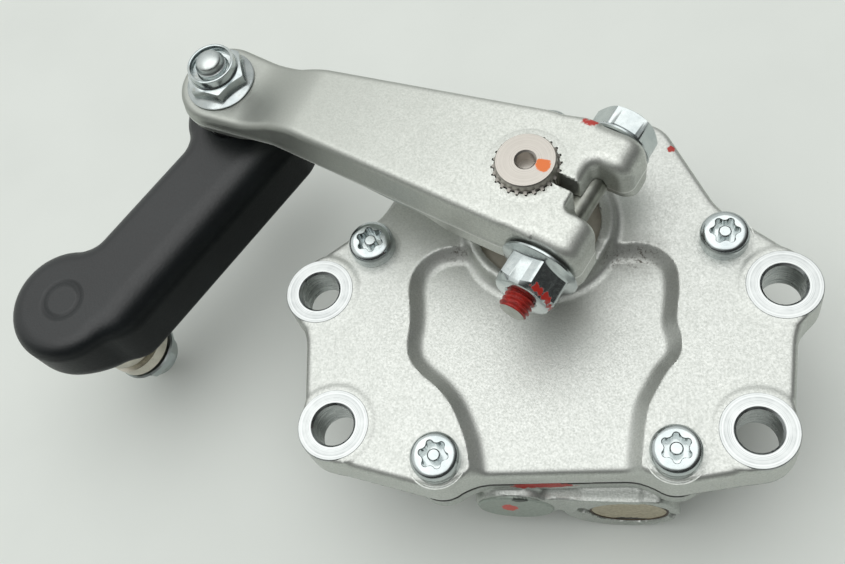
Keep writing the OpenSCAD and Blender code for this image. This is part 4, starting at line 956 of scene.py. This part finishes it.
def lobeScrew():
    lobe = lobeRadius(angles(around))
    h, r, b, p = screw["height"], screw["head"], screw["round"], screw["pin"]
    floor = h - screw["deep"]
    rows = [(screw["shank"], screw["end"]), (screw["shank"], 0), (r - 0.1, 0), (r, 0.15)]
    rows += [(r - b + b * math.cos(t), h - b + b * math.sin(t)) for t in np.linspace(0, math.pi / 2, 7)]
    rows += [(r - b - 0.12, h + 0.01), (screw["lobeOut"] + 0.45, h + 0.02), (lobe + 0.16, h + 0.02),
             (lobe, h - 0.14), (lobe * 0.98, floor), (p, floor), (p, h - 0.55), (p - 0.25, h - 0.3)]
    return profileGrid(rows, around, capLow=True, capHigh=True)


screwParts = [(*turned(lobeScrew(), (x, y, screw["seat"]), up, t), finish["zinc"])
              for (x, y), t in zip(places["screws"], screw["turns"])]
place("coverScrews", screwParts, "housing", ["cover_screws"])


# flange nut: flange rim, cone up to the flats, chamfered flats, round collar on top
def hexRadius(a, half):
    # flats at half the width, corners eased by a high power mean
    power = 60
    s = sum(np.abs(np.cos(a - k * math.pi / 3)) ** power for k in range(3))
    return half * s ** (-1 / power)


def flangeNut(n):
    half, f, t, top, bore = n["flats"] / 2, n["flange"] / 2, n["rim"], n["height"], n["bore"]
    hexa = hexRadius(angles(around), half)
    rows = [(bore, 0.3), (f - 0.4, 0), (f, 0.35), (f, t - 0.2), (f - 0.25, t),
            (np.minimum(hexa + 0.35, f - 0.4), t + 0.28 * (f - hexa - 0.35)),
            (hexa, t + 0.28 * (f - hexa) + 0.25)]
    if "collar" in n:
        c, hexTop = n["collarRadius"], top - n["collar"]
        rows += [(hexa, hexTop - 0.55 * (hexa - half)), (half - 0.1, hexTop), (c + 0.25, hexTop + 0.05),
                 (c + 0.05, hexTop + 0.35), (c, top - 0.3), (c - 0.12, top - 0.08), (c - 0.35, top),
                 (c - 0.58, top - 0.08), (c - 0.7, top - 0.3), (c - 0.75, top - 1.7), (bore, top - 1.8)]
    else:
        rows += [(hexa, top - 0.9 - 0.6 * (hexa - half)), (half - 0.35, top - 0.22), (half - 0.8, top),
                 (bore + 0.5, top), (bore, top - 0.5)]
    return profileGrid(rows, around, loop=True)


def hexHead(n):
    # bolt head with a flange, chamfered flats and a shallow dimple
    half, f, t, top, dimple = n["flats"] / 2, n["flange"] / 2, n["rim"], n["height"], n["dimple"]
    hexa = hexRadius(angles(around), half)
    rows = [(1.0, 0), (f - 0.4, 0), (f, 0.35), (f, t - 0.3), (f - 0.35, t),
            (np.minimum(hexa + 0.3, f - 0.5), t + 0.30 * (f - hexa)), (hexa, t + 0.34 * (f - hexa) + 0.25),
            (hexa, top - 0.6 * (hexa - half) - 0.2), (half - 0.2, top), (dimple + 0.3, top),
            (dimple, top - 0.25)]
    return profileGrid(rows, around, capLow=True, capHigh=True)


def threadRod(radius, pitch, low, high, nose, count=72):
    # round bar whose radius follows a helix: ridge by (height / pitch - angle / turn)
    depth = 0.58 * pitch
    rows = max(8, int((high - low) / pitch * 14))
    z = np.linspace(low, high, rows)[:, None]
    saw = np.abs(((z / pitch - angles(count) / tau) % 1) - 0.5) * 2
    r = radius - depth * np.clip((saw - 0.12) / 0.7, 0, 1)
    if nose:
        r = np.minimum(r, radius - nose + np.maximum(high - z, 0) * 1.2)
    return rowsToGrid(r, np.repeat(z, count, 1), capLow=True, capHigh=True)


stud = {
    "radius": 4, "pitch": 1.25, "nose": 0.8, "ball": 6, "neck": 3.6, "collar": 7.5, "broken": 0.3,
    "upperNut": 28, "upperSpin": 46, "lowerNut": 23.5, "lowerSpin": 10,
}
upperStud = {"neckTo": 9.8, "collarTo": 12.8, "end": 27.28, "dog": 3.2, "groove": None,
             "finishes": ("zinc", "zinc")}
lowerStud = {"neckTo": 13.5, "collarTo": 22.6, "end": 32.0, "dog": 0, "groove": 3.2,
             "finishes": ("paleCollar", "dirtyThread")}
studNut = {"flats": 12, "flange": 15.6, "rim": 0.6, "height": 6.7, "bore": 3.6,
           "collar": 2.4, "collarRadius": 5.3}
pinchNut = {"flats": 12.1, "flange": 16.4, "rim": 0.95, "height": 7.7, "bore": 3.0}
pinchHead = {"flats": 12, "flange": 14.4, "rim": 1.0, "height": 6.0, "dimple": 2.9}


def ballProfile(kind):
    # ball, neck and collar as one turned profile, with a groove in the lower stud's collar
    b, n, c, e, foot = stud["ball"], stud["neck"], stud["collar"], stud["broken"], kind["neckTo"]
    rows = [(b * math.sin(t), b * math.cos(t)) for t in np.linspace(math.pi - 0.05, math.asin(n / b), 24)]
    rows += [(n, foot - e), (n + e, foot), (c - e, foot), (c, foot + e)]
    if kind["groove"]:
        g = foot + kind["groove"]
        rows += [(c, g), (c - 0.5, g + 1.0), (c - 1.3, g + 1.4), (c - 1.3, g + 2.2), (c, g + 2.5)]
    return rows + [(c, kind["collarTo"] - e), (c - e, kind["collarTo"]), (stud["radius"], kind["collarTo"])]


def domedEnd(end, dog):
    # unthreaded point with a small groove and a domed tip
    reach, radius, tall = 1.35, 2.9, 1.15
    dome = [(radius * math.cos(t), end - tall + tall * math.sin(t) / math.sin(reach))
            for t in np.linspace(0, reach, 9)]
    return profileGrid([(3.35, end - dog - 1), (3.35, end - 2.3), (3.1, end - 2.1), (3.3, end - 1.9),
                        (3.05, end - 1.6), (3.0, end - 1.3)] + dome, 64, capLow=True, capHigh=True)


def makeStud(name, origin, axis, kind, body, node):
    collarFinish, threadFinish = kind["finishes"]
    base = profileGrid(ballProfile(kind), 64, capLow=True, capHigh=True)
    rod = threadRod(stud["radius"], stud["pitch"], kind["collarTo"] - 0.5, kind["end"] - kind["dog"],
                    stud["nose"])
    parts = [(*turned(base, origin, axis), finish[collarFinish]),
             (*turned(rod, origin, axis), finish[threadFinish])]
    if kind["dog"]:
        parts.append((*turned(domedEnd(kind["end"], kind["dog"]), origin, axis), finish["studEnd"]))
    place(name, parts, body, [node])


upperBall = np.array((*places["upperStud"], places["ballHeight"]))
lowerBall = np.array((*places["lowerStud"], places["ballHeight"]))
tilt, lead = math.radians(places["studLean"]), math.radians(places["leanTurn"])
lowerAxis = np.array((math.sin(tilt) * math.cos(lead), math.sin(tilt) * math.sin(lead), -math.cos(tilt)))
makeStud("upperBallStud", upperBall, up, upperStud, "arm", "upper_ball_stud")
makeStud("lowerBallStud", lowerBall, lowerAxis, lowerStud, "lower_stud", "lower_ball_stud")
upperNutAt, lowerNutAt = (*places["upperStud"], stud["upperNut"]), lowerBall + stud["lowerNut"] * lowerAxis
place("upperNut", [(*turned(flangeNut(studNut), upperNutAt, up, stud["upperSpin"]), finish["zincStained"])],
      "arm", ["upper_nut"])
lowerNut = turned(flangeNut(studNut), lowerNutAt, lowerAxis, stud["lowerSpin"])
place("lowerNut", [(*lowerNut, finish["satinZinc"])],
      "lower_stud", ["lower_nut"])

# pinch bolt and nut lie across the slot, head to the rear, its end and nut marked in red
pinch = {
    "shank": 3.0, "radius": 3.1, "pitch": 1.0, "nose": 0.6, "plainTo": 28.6, "threadFrom": 27.6,
    "paintFrom": 34.6, "end": 40.75, "endFlat": 2.65, "headSpin": 44, "nutSpin": -19,
    "marks": [(0.9, 20.6, 29.3), (1.7, 20.1, 28.4), (2.4, 19.8, 27.4), (2.9, 19.5, 26.2), (3.2, 19.3, 24.9),
              (3.4, 19.2, 23.5)], "markRadius": 0.72, "markSquash": (0.8, 0.8, 0.8),
}
slotTurn = math.radians(places["slotTurn"])
boltAxis = np.array([-math.sin(slotTurn), math.cos(slotTurn), 0])
boltAt = np.array([places["shaft"][0] + places["boltOut"] * math.cos(slotTurn),
                   places["shaft"][1] + places["boltOut"] * math.sin(slotTurn), places["boltHeight"]])
headAt, nutAt = boltAt + arm["earRear"] * boltAxis, boltAt - arm["earFront"] * boltAxis
paintedThread = mottled("redThread", redPaint, "#7c1f1a", 0.0, (0.3, 0.5), **brushed)
nutPaints = [(at, pinch["markRadius"], pinch["markSquash"], redPaint) for at in pinch["marks"]]
markedNut = zincPlate("markedNut", paints=nutPaints)
shank = profileGrid([(pinch["shank"], -3), (pinch["shank"], pinch["plainTo"])], 64, capLow=True, capHigh=True)
thread = threadRod(pinch["radius"], pinch["pitch"], pinch["threadFrom"], pinch["paintFrom"], 0)
painted = threadRod(pinch["radius"], pinch["pitch"], pinch["paintFrom"], pinch["end"] - 0.03, pinch["nose"])
endDisc = profileGrid([(pinch["endFlat"], pinch["end"] - 0.02), (pinch["endFlat"] - 0.5, pinch["end"])], 64,
                      capLow=True, capHigh=True)
boltParts = [(*turned(hexHead(pinchHead), headAt, boltAxis, pinch["headSpin"]), finish["zinc"])]
boltParts += [(*turned(part, headAt, -boltAxis), coat) for part, coat in (
    (shank, finish["dullSteel"]), (thread, finish["zinc"]), (painted, paintedThread),
    (endDisc, finish["dullSteel"]))]
place("pinchBolt", boltParts, "arm", ["pinch_bolt"])
place("pinchNut", [(*turned(flangeNut(pinchNut), nutAt, -boltAxis, pinch["nutSpin"]), markedNut)],
      "arm", ["pinch_nut"])

# serrated output shaft: plain journals below, 24 teeth above, faced end with a centre hole
shaft = {
    "teeth": 24, "tip": 6.7, "root": 6.25, "face": 6.0, "top": 35, "hole": 1.85, "holeDeep": 3,
    "toothFrom": 16.45,
    "journals": [(6, -23.7), (6, -14.94), (8, -14.94), (8, -1.06), (7, -1.06), (7, 16.3)],
}


def serratedShaft():
    # tooth radius: a clipped cosine of the angle between root and tip
    count = shaft["teeth"] * 10
    wave = np.clip(0.5 + 1.4 * np.cos(shaft["teeth"] * angles(count)), 0, 1)
    tooth = shaft["root"] + (shaft["tip"] - shaft["root"]) * wave
    t, face, hole = shaft["top"], shaft["face"], shaft["hole"]
    rows = shaft["journals"] + [
        (tooth, shaft["toothFrom"]), (tooth, t - 1.9), (np.minimum(tooth, face + 0.35), t - 1.7),
        (face + 0.1, t - 1.5), (face, t - 0.25), (face - 0.2, t), (hole + 0.35, t), (hole, t - 0.35),
        (hole, t - shaft["holeDeep"])]
    return profileGrid(rows, count, capLow=True, capHigh=True)


place("outputShaft", [(*turned(serratedShaft(), (*places["shaft"], 0), up), finish["shaftEnd"])],
      "arm", ["output_shaft"])

# boots: a soft ring that bulges between its seat and the stud's collar
boot = {
    "inner": 3.95, "seat": 7.7, "mouth": 7.4, "bulge": 0.3, "broken": 0.3,
    "upperFrom": 16.5, "upperLength": 2.15, "lowerFrom": 10.66, "lowerLength": 2.45,
}


def softBoot(length):
    # outer radius: from seat to mouth, plus half a sine
    t = np.linspace(0, 1, 13)
    outer = boot["seat"] + (boot["mouth"] - boot["seat"]) * t + boot["bulge"] * np.sin(math.pi * t)
    rows = [(boot["inner"], 0), (outer[0] - boot["broken"], 0)]
    rows += [(r, 0.05 + (length - 0.1) * k) for r, k in zip(outer, t)]
    rows += [(outer[-1] - boot["broken"], length), (boot["inner"], length)]
    return profileGrid(rows, 72, loop=True)


upperBootAt = (*places["upperStud"], boot["upperFrom"])
lowerBootAt = lowerBall + boot["lowerFrom"] * lowerAxis
place("upperBoot", [(*turned(softBoot(boot["upperLength"]), upperBootAt, up), finish["rubber"])],
      "link", ["upper_boot"])
place("lowerBoot", [(*turned(softBoot(boot["lowerLength"]), lowerBootAt, lowerAxis), finish["rubber"])],
      "link", ["lower_boot"])
print("fasteners made")

# finishes of the CAD nodes that stay
nodeFinish = {
    "perimeter_seal": "rubber", "cover_bush": "bronze", "case_bush": "bronze", "oil_seal": "rubber",
    "dust_seal": "dustySeal", "thrust_washers": "bronze", "plug_ring": "rubber",
    "relief_seat": "steel", "relief_ball": "steel", "relief_spring": "springSteel",
    "cap_ring": "rubber", "accumulator_spring": "springSteel",
    "accumulator_piston": "alloy", "piston_ring": "rubber", "check_seats": "steel", "check_stops": "steel",
    "check_ball_left": "steel", "check_ball_right": "steel", "rotor": "alloy", "vane_seal": "rubber",
    "link_bar": "alloy", "upper_race": "race", "lower_race": "race", "upper_plate": "steel",
    "lower_plate": "steel",
}
for name, key in nodeFinish.items():
    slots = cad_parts[name].data.materials
    slots.clear()
    slots.append(finish[key])

# pale table, and soft light from high behind and left
studio = {
    "floorZ": -27.2, "floorHalf": 2000, "floorCells": 8, "floorRough": 0.65,
    "floor": "#e3e7e2", "floorOther": "#dfe3de", "scuff": "#bfc4bf",
    "keyPower": 8.2, "keySize": 1.6, "keyFrom": (-0.06, 0.06, 1.2),
    "sky": "#f4f6f4", "skyFrom": (-0.42, 0.42, 0.8), "skyReach": 0.9, "skyLow": 0.06, "skyHigh": 0.98,
}


# painted table top: two near tones in 40 mm clouds, with small scuffs of 1.6 mm
def tablePaint():
    material, tree, shader, at = startMaterial("paleTable")
    cloud = patches(tree, at, 40, 0.3, 0.7)
    tones = {0: cloud, 6: linear(studio["floor"]), 7: linear(studio["floorOther"])}
    colour = addNode(tree, "Mix", tones)
    scuff = patches(tree, at, 1.6, 0.66, 0.74, detail=4, rough=0.7)
    patch = patches(tree, at, 20, 0.5, 0.65, 0, 0.5)
    scuff = addNode(tree, "Math", {0: scuff, 1: patch}, operation="MULTIPLY")
    colour = addNode(tree, "Mix", {0: scuff, 6: colour, 7: linear(studio["scuff"])})
    setInputs(tree, shader, {"Base Color": colour, "Roughness": studio["floorRough"]})
    return material


def makeTable():
    # flat square grid: z = floorZ
    cells, half = studio["floorCells"], studio["floorHalf"]
    side = cells + 1
    g = np.linspace(-half, half, side)
    x, y = np.meshgrid(g, g, indexing="ij")
    pts = np.stack([x, y, np.full(x.shape, studio["floorZ"])], -1).reshape(-1, 3)
    i = (np.arange(cells)[:, None] * side + np.arange(cells)).ravel()
    mesh = buildMesh("table", pts, np.stack([i, i + side, i + side + 1, i + 1], -1), noTris)
    mesh.materials.append(tablePaint())
    table = bpy.data.objects.new("table", mesh)
    bpy.context.scene.collection.objects.link(table)


def makeSky():
    # strength rises smoothly with the cosine between a ray and the brightest direction
    world = bpy.data.worlds.new("studio")
    world.use_nodes = True
    tree = world.node_tree
    axis = np.array(studio["skyFrom"]) / np.linalg.norm(studio["skyFrom"])
    ray = addNode(tree, "TexCoord", {})
    cosine = addNode(tree, "VectorMath", {0: ray, 1: axis.tolist()}, "Value", operation="DOT_PRODUCT")
    reach = {0: cosine, 2: studio["skyReach"], 3: studio["skyLow"], 4: studio["skyHigh"]}
    glow = addNode(tree, "MapRange", reach, interpolation_type="SMOOTHSTEP")
    setInputs(tree, tree.nodes["Background"], {"Color": linear(studio["sky"]), "Strength": glow})
    bpy.context.scene.world = world


def makeLamp():
    data = bpy.data.lights.new("softbox", "AREA")
    data.shape = "SQUARE"
    data.size = studio["keySize"]
    data.energy = studio["keyPower"]
    lamp = bpy.data.objects.new("softbox", data)
    back = np.array(studio["keyFrom"]) / np.linalg.norm(studio["keyFrom"])
    right = np.cross([0, 1, 0], back)
    right /= np.linalg.norm(right)
    lamp.matrix_world = placed(right, np.cross(back, right), back, studio["keyFrom"])
    bpy.context.scene.collection.objects.link(lamp)


makeTable()
makeSky()
makeLamp()
bpy.context.scene.view_settings.view_transform = "Standard"
print("studio made")
